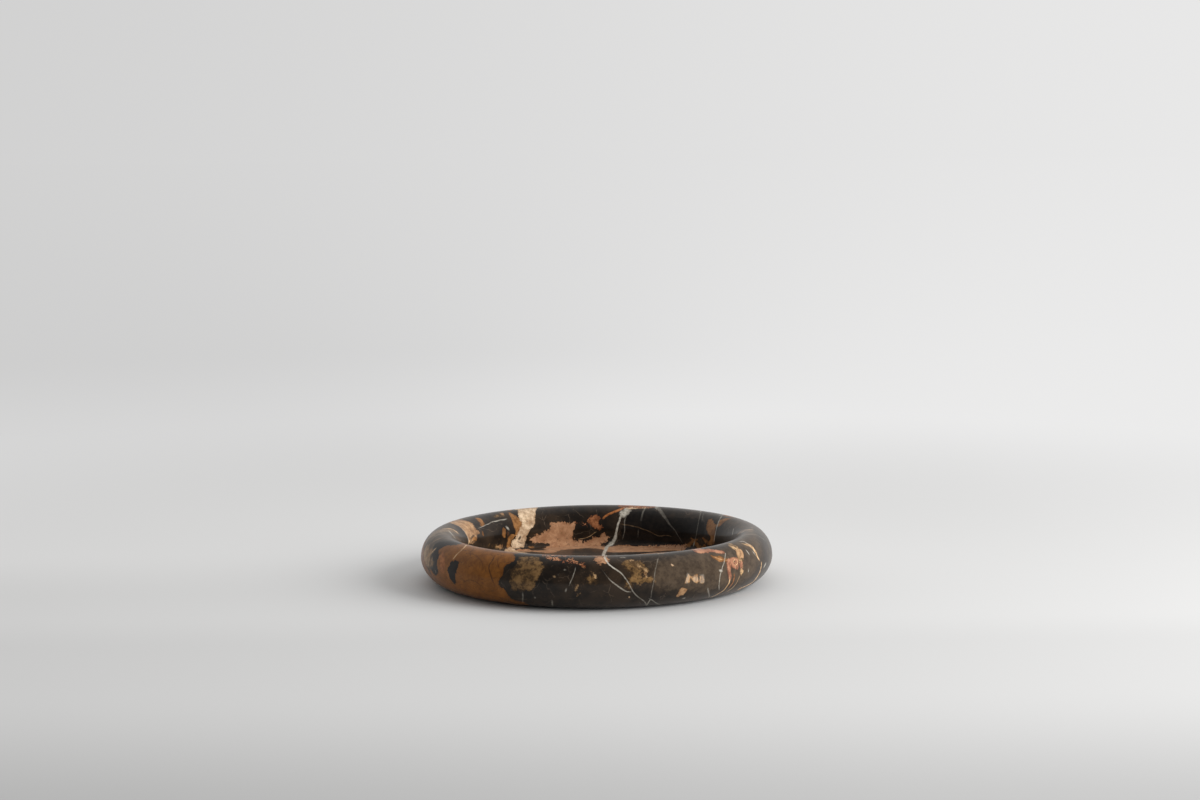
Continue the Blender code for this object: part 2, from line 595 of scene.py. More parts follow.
class StoneChart:
    """The stone's surface laid flat about the middle of the dish, with run as the radius.

    A pixel that misses the stone is pulled towards the tray's middle, by a share of the way at a time,
    and one that misses the near rim is pulled down, by a part of a pixel. The near rim is what lies
    beyond rim_run and in front of two lines that leave the middle with rim_slope. The dish is what lies
    behind dish_plane.
    """

    dish_plane = -0.070
    pulls = 20
    pull = 0.002
    rim_pull = 0.25
    rim_run = 95.0
    rim_slope = 0.36
    least_radius = 8.0
    end_margin = 2.0
    lift = 0.05
    hair = 0.001
    decimals = 3

    def __init__(self, section: Section, camera: PhotoCamera, solid: bpy.types.Object) -> None:
        """Prepares the search for the surface behind a pixel.

        Args:
            section: The stone's section.
            camera: The photograph's camera.
            solid: The turned stone.
        """
        self.camera = camera
        self.radii, self.heights, self.runs = section.table().T / MM
        mesh = solid.data
        self.count = len(mesh.vertices)
        spots = np.empty(self.count * 3, dtype=np.float32)
        mesh.vertices.foreach_get("co", spots)
        self.points = spots.reshape(-1, 3).astype(float) / MM
        mesh.vertex_normals.foreach_get("vector", spots)
        self.normals = spots.reshape(-1, 3).astype(float)
        corners = [vertex.co for vertex in mesh.vertices]
        self.tree = BVHTree.FromPolygons(corners, [face.vertices for face in mesh.polygons])
        self.flat = self.laid_flat()
        self.floor_run = float(self.runs[(self.heights > self.heights[0] + self.hair).argmax()])

    def laid_flat(self) -> np.ndarray:
        """Chart coordinates of the vertices, in millimetres."""
        radius = np.hypot(self.points[:, 0], self.points[:, 1])
        rings = np.round(np.column_stack([radius, self.points[:, 2]]), self.decimals)
        rings, which = np.unique(rings, axis=0, return_inverse=True)
        which = which.reshape(-1)
        gaps = (rings[:, :1] - self.radii) ** 2 + (rings[:, 1:] - self.heights) ** 2
        run = self.runs[gaps.argmin(1)][which]
        angle = np.arctan2(self.points[:, 1], self.points[:, 0])
        return run[:, None] * np.column_stack([np.cos(angle), np.sin(angle)])

    def find(self, spot: Spot, side: Side) -> tuple[float, float]:
        """Chart coordinates of a spot. A pixel just off the outline is pulled in until it meets the stone.

        Args:
            spot: A pixel of the photograph, or a place out of its view.
            side: For a pixel, whether it picks the first surface, the near rim, or the dish behind that.

        Returns:
            The spot on the chart, in millimetres.
        """
        if isinstance(spot, Polar):
            angle = math.radians(spot.azimuth)
            return spot.run_mm * math.cos(angle), spot.run_mm * math.sin(angle)
        middle = Vector(self.camera.subject_px)
        for pull in range(self.pulls):
            pixel = Vector(spot).lerp(middle, pull * self.pull)
            if side is Side.RIM:
                pixel = Vector(spot) + Vector((0, pull * self.rim_pull))
            ray = self.camera.ray(tuple(pixel))
            start = self.camera.location
            if side is Side.DISH:
                start = start + ray * ((self.dish_plane - start.y) / ray.y)
            hit = self.tree.ray_cast(start, ray)[0]
            if hit is None:
                continue
            ring = (self.radii - math.hypot(hit.x, hit.y) / MM) ** 2 + (self.heights - hit.z / MM) ** 2
            run = float(self.runs[ring.argmin()])
            if side is Side.RIM and (run < self.rim_run or hit.y > self.rim_slope * abs(hit.x)):
                continue
            angle = math.atan2(hit.y, hit.x)
            return run * math.cos(angle), run * math.sin(angle)
        raise ValueError(f"pixel {spot} misses the stone")

    def surface(self, flat: np.ndarray) -> np.ndarray:
        """Places in space, in millimetres, for rows of chart coordinates."""
        run = np.maximum(np.hypot(flat[:, 0], flat[:, 1]), self.hair)
        radius = np.interp(run, self.runs, self.radii)
        height = np.interp(run, self.runs, self.heights)
        return np.column_stack([flat * (radius / run)[:, None], height])

    def beside(self, place: Polar, across: float, along: float) -> Polar:
        """The place a step away, in millimetres.

        Args:
            place: Where the step starts.
            across: Step to the right as seen from above.
            along: Step to the back as seen from above.

        Returns:
            The new place. A step outward follows the section over the rim and under the foot.
        """
        angle = math.radians(place.azimuth)
        if place.run_mm < self.floor_run:
            x, y = place.run_mm * math.cos(angle) + across, place.run_mm * math.sin(angle) + along
            return Polar(math.degrees(math.atan2(y, x)), math.hypot(x, y))
        radius = max(float(np.interp(place.run_mm, self.runs, self.radii)), self.least_radius)
        out = across * math.cos(angle) + along * math.sin(angle)
        turn = along * math.cos(angle) - across * math.sin(angle)
        run = min(place.run_mm + out, self.runs[-1] - self.end_margin)
        return Polar(place.azimuth + math.degrees(turn / radius), run)

    def step_weights(self) -> np.ndarray:
        """The surface that each vertex stands for, up to a factor."""
        radius = np.hypot(self.points[:, 0], self.points[:, 1])
        run = np.hypot(*self.flat.T)
        rings = np.unique(np.round(run, self.decimals))
        return radius * np.interp(run, rings, np.gradient(rings))

    def hidden(self) -> np.ndarray:
        """How far each vertex lies from what the photograph shows, in millimetres."""
        eye = self.camera.location
        towards = np.array(eye) / MM - self.points
        facing = (towards * self.normals).sum(1) > 0
        seen = np.zeros(self.count, dtype=bool)
        lifted = (self.points + self.lift * self.normals) * MM
        for index in np.flatnonzero(facing):
            start = Vector(lifted[index])
            seen[index] = self.tree.ray_cast(start, eye - start)[0] is None
        tree = KDTree(int(seen.sum()))
        for number, index in enumerate(np.flatnonzero(seen)):
            tree.insert(self.points[index], number)
        tree.balance()
        distance = np.zeros(self.count)
        for index in np.flatnonzero(~seen):
            distance[index] = tree.find(self.points[index])[2]
        return distance


class Veining:
    """Draws blots and veins on the stone, as distances stored at its vertices.

    Distances are in millimetres, and are kept up to a limit. Veins of one group stay vein_room apart.
    """

    reach_limit = 8.0
    vein_limit = 5.0
    vein_room = 3.0
    step = 1.0
    block = 4000
    blot_waver = 0.25
    waver_length = 8
    waver_shares = (1, 2, 4)
    width_spread = (0.85, 1.15)
    # What is stored away from every vein: half widths, millimetres and strength
    bare = (99.0, 9.0, 0.0)
    least_square = 1e-9

    def __init__(self, chart: StoneChart, seed: int) -> None:
        """Starts with a bare stone.

        Args:
            chart: The stone's surface.
            seed: Start of the random numbers.
        """
        self.chart = chart
        self.rng = np.random.default_rng(seed)
        self.hidden = chart.hidden()
        self.reach = {tone: np.full(chart.count, -self.reach_limit) for tone in Tone}
        self.groups: dict[Fill, list[np.ndarray]] = {fill: [] for fill in Fill}

    def path(self, spots: tuple[Spot, ...], side: Side, closed: bool) -> np.ndarray:
        """A smooth line through spots, as closely spaced rows of chart coordinates."""
        knots = np.array([self.chart.find(spot, side) for spot in spots])
        if closed:
            knots = np.concatenate([knots[-1:], knots, knots[:2]])
        else:
            knots = np.concatenate([2 * knots[:1] - knots[1:2], knots, 2 * knots[-1:] - knots[-2:-1]])
        rows = []
        for a, b, c, d in zip(knots, knots[1:], knots[2:], knots[3:]):
            count = max(1, round(float(np.hypot(*(c - b))) / self.step))
            t = np.arange(count)[:, None] / count
            bend = (2 * a - 5 * b + 4 * c - d) * t**2 + (3 * b - 3 * c + d - a) * t**3
            rows.append(b + ((c - a) * t + bend) / 2)
        return np.concatenate([*rows, knots[-2:-1]])

    def wavered(self, path: np.ndarray, amount: float) -> np.ndarray:
        """Shakes a line sideways, more over long lengths than over short ones."""
        along = np.concatenate([[0], np.cumsum(np.hypot(*np.diff(path, axis=0).T))])
        shaken = path.copy()
        for share in self.waver_shares:
            spacing = self.waver_length / share
            knots = np.arange(0, along[-1] + spacing + 1, spacing)
            for axis in (0, 1):
                shift = self.rng.uniform(-amount, amount, len(knots)) / share
                shaken[:, axis] += np.interp(along, knots, shift)
        return shaken

    def near(self, line: np.ndarray, margin: float) -> np.ndarray:
        """Numbers of the vertices in the box round a line in space."""
        points = self.chart.points
        inside = (points > line.min(0) - margin) & (points < line.max(0) + margin)
        return np.flatnonzero(inside.all(1))

    def measure(self, chosen: np.ndarray, line: np.ndarray) -> tuple[np.ndarray, np.ndarray, np.ndarray]:
        """Distances of vertices from a line.

        Args:
            chosen: Numbers of the vertices.
            line: Places in space, in millimetres.

        Returns:
            For each vertex, its distance, the share of the line at its nearest point, and its side as
            1 or -1.
        """
        start, leg = line[:-1], np.diff(line, axis=0)
        square = np.maximum((leg**2).sum(1), self.least_square)
        length = np.sqrt(square)
        before = np.concatenate([[0], np.cumsum(length)])
        results = []
        for first in range(0, len(chosen), self.block):
            some = chosen[first : first + self.block]
            away = self.chart.points[some][:, None] - start
            share = np.clip((away * leg).sum(2) / square, 0, 1)
            gap = away - share[..., None] * leg
            which = (gap**2).sum(2).argmin(1)
            rows = np.arange(len(some))
            gap = gap[rows, which]
            along = (before[which] + share[rows, which] * length[which]) / before[-1]
            turn = (np.cross(leg[which], gap) * self.chart.normals[some]).sum(1)
            results.append((np.sqrt((gap**2).sum(1)), along, np.where(turn < 0, -1.0, 1.0)))
        return tuple(np.concatenate(column) for column in zip(*results))

    def inside(self, chosen: np.ndarray, path: np.ndarray) -> np.ndarray:
        """Which vertices lie inside a closed line on the chart."""
        x, y = self.chart.flat[chosen].T
        odd = np.zeros(len(chosen), dtype=bool)
        for (ax, ay), (bx, by) in zip(path, np.roll(path, -1, axis=0)):
            if ay != by:
                crosses = (ay > y) != (by > y)
                odd ^= crosses & (x < ax + (y - ay) * (bx - ax) / (by - ay))
        return odd

    def draw_blot(self, blot: Blot, room: np.ndarray | None = None) -> None:
        """Adds a blot to its tone's reach.

        Args:
            blot: The blot.
            room: The most that the reach may be at each vertex, for a blot that keeps out of view.
        """
        path = self.wavered(self.path(blot.corners, blot.side, closed=True), self.blot_waver)
        path[-1] = path[0]
        line = self.chart.surface(path)
        low, high = path.min(0), path.max(0)
        chosen = self.near(line, self.reach_limit)
        within = ((self.chart.flat > low) & (self.chart.flat < high)).all(1)
        chosen = np.union1d(chosen, np.flatnonzero(within))
        distance = self.measure(chosen, line)[0]
        reach = np.where(self.inside(chosen, path), distance, -distance) * blot.crisp
        reach = reach.clip(-self.reach_limit, self.reach_limit)
        if room is not None:
            reach = np.minimum(reach, room[chosen])
        known = self.reach[blot.tone]
        known[chosen] = np.maximum(known[chosen], reach)

    def draw_vein(self, vein: Vein, room: np.ndarray | None = None) -> None:
        """Adds a vein to the first group of its fill where it has room.

        Args:
            vein: The vein.
            room: A strength from 0 to 1 at each vertex, for a vein that keeps out of view.
        """
        path = self.wavered(self.path(vein.spots, vein.side, closed=False), vein.waver_mm)
        line = self.chart.surface(path)
        length = float(np.linalg.norm(np.diff(line, axis=0), axis=1).sum())
        chosen = self.near(line, self.vein_limit)
        distance, along, side = self.measure(chosen, line)
        widths = np.atleast_1d(vein.widths_mm)
        half = self.spread(widths * self.rng.uniform(*self.width_spread, len(widths)), along) / 2
        beyond = np.maximum(distance - half, 0)
        strength = self.spread(np.atleast_1d(vein.strengths), along)
        for fade, left in zip(np.broadcast_to(vein.fades_mm, 2), (along * length, (1 - along) * length)):
            if fade:
                strength *= np.clip(left / fade, 0, 1)
        if room is not None:
            strength *= room[chosen]
        kept = beyond < self.vein_limit
        chosen, values = chosen[kept], np.column_stack([side * distance / half, beyond, strength])[kept]
        near = values[:, 1] < self.vein_room
        for group in self.groups[vein.fill]:
            if not (group[chosen[near], 1] < self.vein_room).any():
                break
        else:
            group = np.tile(self.bare, (self.chart.count, 1))
            self.groups[vein.fill].append(group)
        closer = values[:, 1] < group[chosen, 1]
        group[chosen[closer]] = values[closer]

    @staticmethod
    def spread(values: np.ndarray, along: np.ndarray) -> np.ndarray:
        """Values spread evenly over a line, at shares of it."""
        return np.interp(along, np.linspace(0, 1, len(values)), values)

    def store(self, mesh: bpy.types.Mesh) -> dict[Fill, int]:
        """Writes the distances to the mesh as attributes.

        Args:
            mesh: The stone's mesh.

        Returns:
            How many groups of veins each filling has.
        """
        tones = list(Tone)
        for first in range(0, len(tones), 3):
            columns = np.column_stack([self.reach[tone] for tone in tones[first : first + 3]])
            self.write(mesh, tones[first].attribute, columns)
        for fill, groups in self.groups.items():
            for number, group in enumerate(groups):
                self.write(mesh, f"{fill.value}_{number}", group)
        counts = {fill: len(groups) for fill, groups in self.groups.items()}
        LOG.info("vein groups: %s", {fill.value: count for fill, count in counts.items()})
        return counts

    @staticmethod
    def write(mesh: bpy.types.Mesh, name: str, rows: np.ndarray) -> None:
        """Writes one vector attribute."""
        attribute = mesh.attributes.new(name, "FLOAT_VECTOR", "POINT")
        attribute.data.foreach_set("vector", rows.astype(np.float32).ravel())


RIM, DISH = Side.RIM, Side.DISH

# A blot's tone, corners, side and crispness
SEEN_BLOTS = (
    # Lighter brown stone over both ends, and partly a painted sheen of the light on them
    Blot(Tone.BROWN_AND_SHEEN, ((655, 560), (664, 556.6), (674, 556), (688, 554), (704, 551), (722, 547), (736, 540),
        (744, 532), (752, 530), (758, 535), (761, 544), (762, 556), (759, 567), (750, 578), (738, 584),
        (722, 588), (704, 592), (690, 592.6), (676, 592), (664, 590), (654, 586), (650, 578), (650, 570)),
        RIM),
    Blot(Tone.BROWN_AND_SHEEN, ((724, 521), (731, 519), (741, 522.5), (748, 527), (744, 531), (736, 529), (728, 525))),
    Blot(Tone.BROWN_AND_SHEEN, ((421.8, 553), (423, 546), (428, 538.6), (434, 531.6), (441, 526.6), (448, 523.8),
        (454, 526), (458, 531), (460, 536), (456, 540.4), (448, 540.6), (440, 541.6), (435, 545),
        (432, 550), (431, 558), (432, 566), (430, 570), (426, 565), (423, 559))),
    # Left end: the patch over the crest, and the orange flecks beside it
    Blot(Tone.TAN, ((449, 522.7), (456, 520.8), (463.5, 520.5), (468, 521.3), (471.5, 523.2), (474, 526.6),
        (475.6, 529), (478.2, 531), (479, 533.2), (477, 535.6), (476.8, 538.5), (475.6, 541), (473.5, 543),
        (469.8, 543.6), (467.9, 542.4), (468, 539), (466.2, 534.8), (463.2, 530.2), (459, 526.6),
        (454.5, 524.2))),
    Blot(Tone.ORANGE, ((472.4, 537.4), (474.4, 536.6), (476.8, 537.4), (477, 540.4), (474.6, 541.2),
        (472.6, 540)), crisp=2),
    Blot(Tone.ORANGE, ((475.6, 518.3), (477.5, 517.8), (481, 519), (483, 521.5), (484.2, 524.6),
        (482.5, 526), (480.6, 525.6), (479.5, 522.5), (476.8, 520))),
    Blot(Tone.ORANGE, ((481, 531.4), (482.2, 530.6), (483.4, 533), (483.7, 535.3), (482.5, 535.8),
        (481.6, 533.6))),
    # Left end: the ochre body with its dark strokes
    Blot(Tone.OCHRE, ((437.4, 556), (437.6, 550.4), (440.5, 548.4), (444, 546.3), (449, 545.3),
        (455, 545.3), (460, 544.6), (466, 545), (474, 546.8), (482, 548.8), (490, 550.6), (500, 552),
        (508, 553), (514, 553.8), (514.6, 557), (514, 560.2), (511, 563), (507, 564.6), (504, 567),
        (502.8, 570), (502.4, 574), (500.4, 578.6), (498.2, 582.5), (499, 585.6), (503, 588.4),
        (506, 591.8), (508.2, 595.4), (510.5, 598.6), (514, 600.6), (519, 602), (523, 603.6), (500, 600.5),
        (480, 597.5), (460, 592.5), (445, 586), (434, 576.5), (430, 571), (434.4, 568.6), (437, 562)), RIM),
    Blot(Tone.OLIVE, ((422, 552), (424, 546), (430, 546), (433, 551), (432.4, 557), (434, 563), (431, 569),
        (432, 574), (428, 570), (424, 563)), RIM, 0.5),
    Blot(Tone.BLACK, ((431, 551.5), (432.4, 548), (434.5, 545), (438, 542.4), (444, 541.2), (450, 541.2),
        (457, 542), (462, 543.3), (458, 544.6), (452, 544.4), (446, 545.4), (441.5, 547.8), (439, 550),
        (438.9, 554), (439.2, 557.4), (437.2, 559.6), (436.7, 563), (437.2, 566.5), (438.2, 570),
        (437.6, 573.6), (435.5, 575.4), (433, 572.8), (431.8, 569.6), (432.8, 566.4), (434.3, 563),
        (433.4, 559.6), (432, 556.6), (433.4, 553.4), (435, 550), (433.4, 549.6)), RIM),
    Blot(Tone.BLACK, ((449.7, 562.3), (453, 561), (457.3, 560.2), (459.2, 561.6), (458.6, 565),
        (456.9, 568.6), (456.2, 572), (455.4, 576), (456.2, 580), (456, 583), (454.4, 583.4),
        (452.4, 581.8), (450.1, 578.5), (448.6, 575.5), (447.3, 572), (447.3, 569.4), (448.9, 566.4),
        (449.9, 564.4)), RIM),
    # Back left: mottles, orange margin, cream band
    Blot(Tone.OLIVE, ((493.4, 516.5), (498, 513.8), (503, 512.6), (504.6, 513.6), (503.6, 515.8),
        (500.5, 517.4), (496, 517.5))),
    Blot(Tone.TAN, ((499.6, 513.4), (503.2, 512.4), (504, 514), (501.6, 514.8))),
    Blot(Tone.ORANGE, ((508.6, 512.4), (510.4, 512.4), (512.6, 514.4), (516, 516), (518.6, 518),
        (520, 520.4), (522, 523), (522, 527), (520.4, 529), (519.6, 532), (517.4, 536), (515.6, 537),
        (515.4, 533), (515.4, 530), (513.8, 526.5), (512.8, 523), (511.6, 520), (510.8, 517), (509.4, 515)),
        crisp=1.5),
    Blot(Tone.ORANGE, ((512, 534.4), (515.4, 535), (513.6, 538.4), (511.6, 541), (510.8, 545), (511.4, 548),
        (508, 548.6), (506.6, 545.6), (507.4, 541), (509, 537)), DISH, 1.5),
    Blot(Tone.ORANGE, ((503.2, 528.2), (505, 527.8), (505.8, 531), (505.8, 534.6), (505, 537), (503.2, 537),
        (502.4, 533.6), (502.4, 530.6)), crisp=1.5),
    Blot(Tone.OLIVE, ((488, 545.6), (494, 545.4), (500, 545.2), (503, 546.6), (504, 548), (500, 548.8),
        (494, 547.8), (488, 546.8)), DISH),
    Blot(Tone.TAN, ((496.8, 546.4), (500, 546), (503, 547), (501, 548.2), (498, 547.8)), DISH, 0.5),
    Blot(Tone.CREAM, ((517.6, 509.6), (526, 508.4), (535.6, 507.8), (535.4, 512), (534.8, 517),
        (534.6, 521), (533.6, 525), (532.5, 527.5), (529.5, 529.5), (528.2, 532.5), (527.3, 535),
        (526.5, 538.5), (525.3, 542), (524.6, 545.5), (523.4, 547.6), (518, 548.6), (513, 548.2),
        (511, 543.5), (512.5, 540.5), (515, 538.5), (517, 536), (517.8, 533.5), (519.2, 531), (520, 528),
        (521.6, 525.8), (521.8, 522.5), (520.2, 521), (519.3, 518.5), (518.5, 515)), DISH),
    Blot(Tone.SALMON, ((514.6, 549.4), (520, 549.2), (527, 549), (531, 550), (530, 552), (522, 551.6),
        (517, 550.8)), DISH, 2),
    Blot(Tone.ORANGE, ((528, 546.6), (532, 546.2), (536, 546.8), (535, 548), (530, 548.4)), DISH, 2),
    Blot(Tone.SALMON, ((531.5, 550.8), (540, 550.4), (548, 550.6), (546, 551.8), (536, 552)), DISH, 2),
    # Back wall and floor: the salmon patch
    Blot(Tone.SALMON, ((530, 539), (531.5, 537.4), (535, 536.2), (539, 535), (543, 533.4), (546.5, 531.2),
        (549.8, 530), (550.4, 527), (550, 523.4), (553, 522.6), (557, 522.2), (561, 520.8), (564, 522),
        (568, 524), (571, 522.2), (574.5, 522.6), (575.3, 525), (574.8, 528.5), (573.3, 531.2),
        (572.5, 535), (573, 538.6), (576, 541), (581, 541), (586, 540.4), (590, 540.2), (592.5, 537.6),
        (596, 536.4), (600, 535.2), (603, 533.4), (607, 534.4), (609.2, 537), (607.5, 540), (604.5, 542.4),
        (601.5, 545.2), (605, 547), (612, 546.4), (620, 545.2), (632, 545.7), (645, 545.9), (655, 545.7),
        (663, 546), (670, 545), (676, 545.8), (685, 545), (689, 546), (686, 549), (680, 550.8),
        (672, 550.6), (655, 551.4), (630, 552), (611, 552.4), (604, 550), (590, 548), (575, 549),
        (562, 549.8), (556, 552), (546, 553), (544, 549), (546, 546.8), (550, 545), (545, 543.4),
        (540, 542.8), (536, 543.4), (533, 542.6)), DISH),
    Blot(Tone.FLECK, ((574.6, 521.8), (580, 522), (586, 522.8), (589, 524.6), (586, 525.6), (580, 524),
        (575, 523.8))),
    Blot(Tone.RUST, ((587.5, 520.5), (589, 518.5), (592, 515.8), (596, 515.2), (599.5, 516.5),
        (600.5, 518.5), (598, 519.5), (597.5, 521.5), (599, 524), (602, 526), (604, 528.5), (602, 529),
        (599, 529.8), (595.5, 528.5), (592.5, 526.5), (590, 524), (588, 522.5))),
    Blot(Tone.CREAM, ((625, 507.6), (632, 506.2), (645, 506.4), (655, 507.2), (650, 508), (642, 508.4),
        (634, 508.8), (629, 509.4)), crisp=2),
    Blot(Tone.CREAM, ((628.8, 515.4), (630.2, 515), (630.4, 517.2), (629.2, 518.4), (628.4, 517))),
    Blot(Tone.ORANGE, ((683, 548), (686, 545), (690, 541.6), (694, 539.2), (698, 538.2), (696, 541),
        (692.4, 544), (690, 547.6)), DISH),
    Blot(Tone.ORANGE, ((696.6, 548), (701.6, 546.2), (705.6, 543.8), (709.4, 541), (711, 544), (707, 546.6),
        (701, 548.6)), DISH),
    # Back right
    # Darker stone over the inner back wall, and partly painted shade where that wall reflects little light
    Blot(Tone.BLACK, ((632, 512), (655, 511), (664, 518), (680, 518), (697, 519), (704, 524), (704, 536),
        (690, 537.5), (684, 541.5), (676, 543), (655, 543), (640, 543), (628, 542), (622, 536), (623, 527),
        (628, 519))),
    Blot(Tone.ORANGE, ((709, 519.3), (712.5, 518.7), (714, 520.5), (714, 523), (717, 524), (716, 528),
        (715.5, 532), (714.8, 536), (715, 540), (714, 544), (711, 545), (708, 545), (706, 543.6),
        (709.5, 540), (710.5, 537.5), (708.5, 534.5), (706.5, 531), (705.8, 527), (707, 522.5))),
    Blot(Tone.ORANGE, ((717.4, 526), (719.4, 521), (722.5, 518.9), (728, 517.9), (731, 518.4), (727, 520.5),
        (723.5, 522.8), (720, 526))),
    # Front rim, left to right
    Blot(Tone.OLIVE, ((518, 558), (524, 556.5), (530, 556), (536, 557), (540, 559), (543, 562.5),
        (543.5, 567), (542, 572), (539, 576.5), (536.5, 581), (534.5, 585.5), (532.5, 589), (529, 591),
        (523, 590.5), (518, 590.8), (513.5, 590), (511.5, 586), (510.5, 581), (510.5, 575), (511.5, 571),
        (514.5, 568), (516.5, 564.5), (517, 561)), RIM),
    Blot(Tone.FLECK, ((543, 555.5), (547, 555.9), (551, 557), (556, 556.6), (561, 558.6), (567, 559.3),
        (571, 557), (574, 558.5), (578, 561.5), (583, 563), (586, 566), (585, 568.5), (581, 566.8),
        (577, 565.3), (572, 564), (566, 563.8), (561, 563), (556, 562.5), (550, 560.5), (546, 559.5)), RIM),
    Blot(Tone.TAN, ((555.8, 559.4), (557.4, 558.2), (559, 559.6), (558.6, 561.4), (556.8, 561.4)), RIM),
    Blot(Tone.TAN, ((581.6, 565.2), (583.4, 564.6), (585, 566.6), (584, 568), (582.2, 567.2)), RIM),
    Blot(Tone.TAN, ((570.2, 558.6), (572, 557.8), (572.8, 559.8), (571, 560.6)), RIM),
    Blot(Tone.SALMON, ((594.5, 560.5), (595, 558), (597, 556.6), (601, 555.8), (605, 555.8), (608, 557.4),
        (609, 560), (606.5, 562.5), (603.5, 564), (601, 565.5), (598.5, 563.5), (595.5, 562)), RIM),
    Blot(Tone.GOLD, ((591, 571), (593.4, 572.2), (596.4, 576.6), (598.4, 580.2), (596.4, 579.4),
        (593.8, 576)), RIM, 1.5),
    Blot(Tone.OLIVE, ((587.4, 577), (590, 575.4), (594, 576), (597.8, 580.6), (597.4, 583.4), (593, 582.8),
        (591.6, 584.4), (588.4, 582)), RIM),
    Blot(Tone.GOLD, ((577.6, 584.2), (579, 585.8), (577.8, 588.8), (575, 590.6), (573.2, 591.2),
        (575.2, 587.4)), RIM, 1.5),
    Blot(Tone.GOLD, ((576.8, 596), (579, 594.5), (581, 593.4), (580.5, 595.5), (578, 597)), RIM),
    Blot(Tone.CREAM, ((627.8, 597), (629.4, 595.8), (631.2, 596.8), (629.6, 598.4)), RIM, 3),
    Blot(Tone.GOLD, ((629, 559.6), (634, 560.4), (640, 563.2), (644, 565.8), (647, 567.8), (648, 571),
        (647.4, 575), (645.4, 577.6), (642.4, 576.4), (643, 572.6), (640.6, 569.6), (636, 566.6),
        (631, 563.4)), RIM),
    Blot(Tone.TAN, ((643.2, 568.4), (645.4, 567.6), (647, 570.2), (646.6, 574.4), (644.8, 576),
        (643.6, 573.8), (644.2, 571)), RIM, 1.5),
    Blot(Tone.OLIVE, ((632, 578.6), (638, 578), (645, 577.6), (651.6, 578), (652.6, 581), (648, 584),
        (641, 583.8), (635, 585), (632, 583)), RIM),
    Blot(Tone.OLIVE, ((622, 562), (628, 560), (634, 560), (641, 561.5), (645, 566), (643, 572),
        (640, 576.5), (632, 579), (629, 573), (624, 568)), RIM),
    Blot(Tone.OLIVE, ((624.5, 580), (627, 577.5), (631, 577), (632, 580), (630.5, 583), (632.5, 587),
        (630, 589.5), (626.5, 588), (624.5, 584.5)), RIM),
    Blot(Tone.GOLD, ((652.6, 580.2), (654.4, 578.6), (655.6, 580.6), (654.6, 582.4), (653, 582.2)), RIM),
    Blot(Tone.CREAM, ((670.8, 563), (672.4, 563), (673.4, 565), (675, 566.2), (674.2, 567.2), (672, 567),
        (671, 565.2)), RIM, 2.5),
    Blot(Tone.TAN, ((688.4, 570.6), (689.2, 574.6), (690.6, 576), (690.2, 580), (689.8, 583), (687, 582.6),
        (684, 584.2), (685.6, 580), (686.4, 577.2), (687.6, 575)), RIM, 3),
    Blot(Tone.TAN, ((691, 578), (693, 576.4), (697, 573.8), (697.8, 577), (697.8, 582.6), (695, 582.4),
        (692.6, 580)), RIM, 3),
    Blot(Tone.TAN, ((698.8, 574.8), (701, 575.8), (704.8, 572.6), (703.4, 576.6), (704.4, 579),
        (704, 583.2), (700.8, 583.4), (698.8, 581), (699.8, 578)), RIM, 3),
    Blot(Tone.TAN, ((675.4, 596.6), (679, 591.4), (680.6, 588.4), (683.4, 588), (687.8, 588.8),
        (685, 592.4), (684.2, 594.6), (681.4, 594), (679, 596.4)), RIM, 2),
    # Right end: pink streak, gold and orange strands
    Blot(Tone.PINK, ((693, 551), (698, 549.6), (705, 548.8), (713, 549), (719, 550), (724.6, 551.4),
        (724.6, 553.6), (718, 553.2), (711, 552.2), (706, 552.8), (702, 553.2), (697, 552.6)), RIM, 1.5),
    Blot(Tone.ORANGE, ((710.4, 554.6), (715, 556), (719.6, 556.2), (724, 558.4), (728.6, 559.4),
        (728.4, 562.4), (723.6, 561.8), (719, 562), (716.6, 559.4), (713, 558.4)), RIM, 1.6),
    Blot(Tone.TAN, ((733, 546.4), (737, 547.2), (740.6, 549), (743, 552), (743.8, 556), (743.2, 560),
        (741.4, 562.4), (739.4, 560.6), (738, 557), (736.2, 553), (734.4, 549.6)), RIM, 1.5),
    Blot(Tone.GOLD, ((727, 543.4), (731, 543.6), (735, 545), (738.8, 547.4), (737, 550.4), (733, 549),
        (730, 546.6)), RIM, 1.5),
    Blot(Tone.GOLD, ((737.6, 558), (743.6, 559.6), (742.8, 565), (743.4, 570), (741.4, 575.6), (740, 576.4),
        (740.4, 570), (739.8, 565), (738.4, 562.4)), RIM, 1.2),
    Blot(Tone.PINK, ((739.8, 563), (742.6, 562), (742.2, 567.6), (740.6, 568)), RIM, 1.2),
    Blot(Tone.PINK, ((728, 558.5), (731.5, 558.2), (735, 557.5), (738, 558), (738.6, 562), (737.8, 566),
        (737.5, 570), (735, 569), (732, 566.5), (730.3, 568), (730.5, 574), (730.8, 580), (728.5, 580.5),
        (728, 575), (727.8, 568), (727.2, 563)), RIM, 1.5),
    Blot(Tone.BLACK, ((734.3, 560.8), (735, 560.4), (735.3, 562), (734.9, 563.2), (734.3, 562.6)), RIM, 3),
)

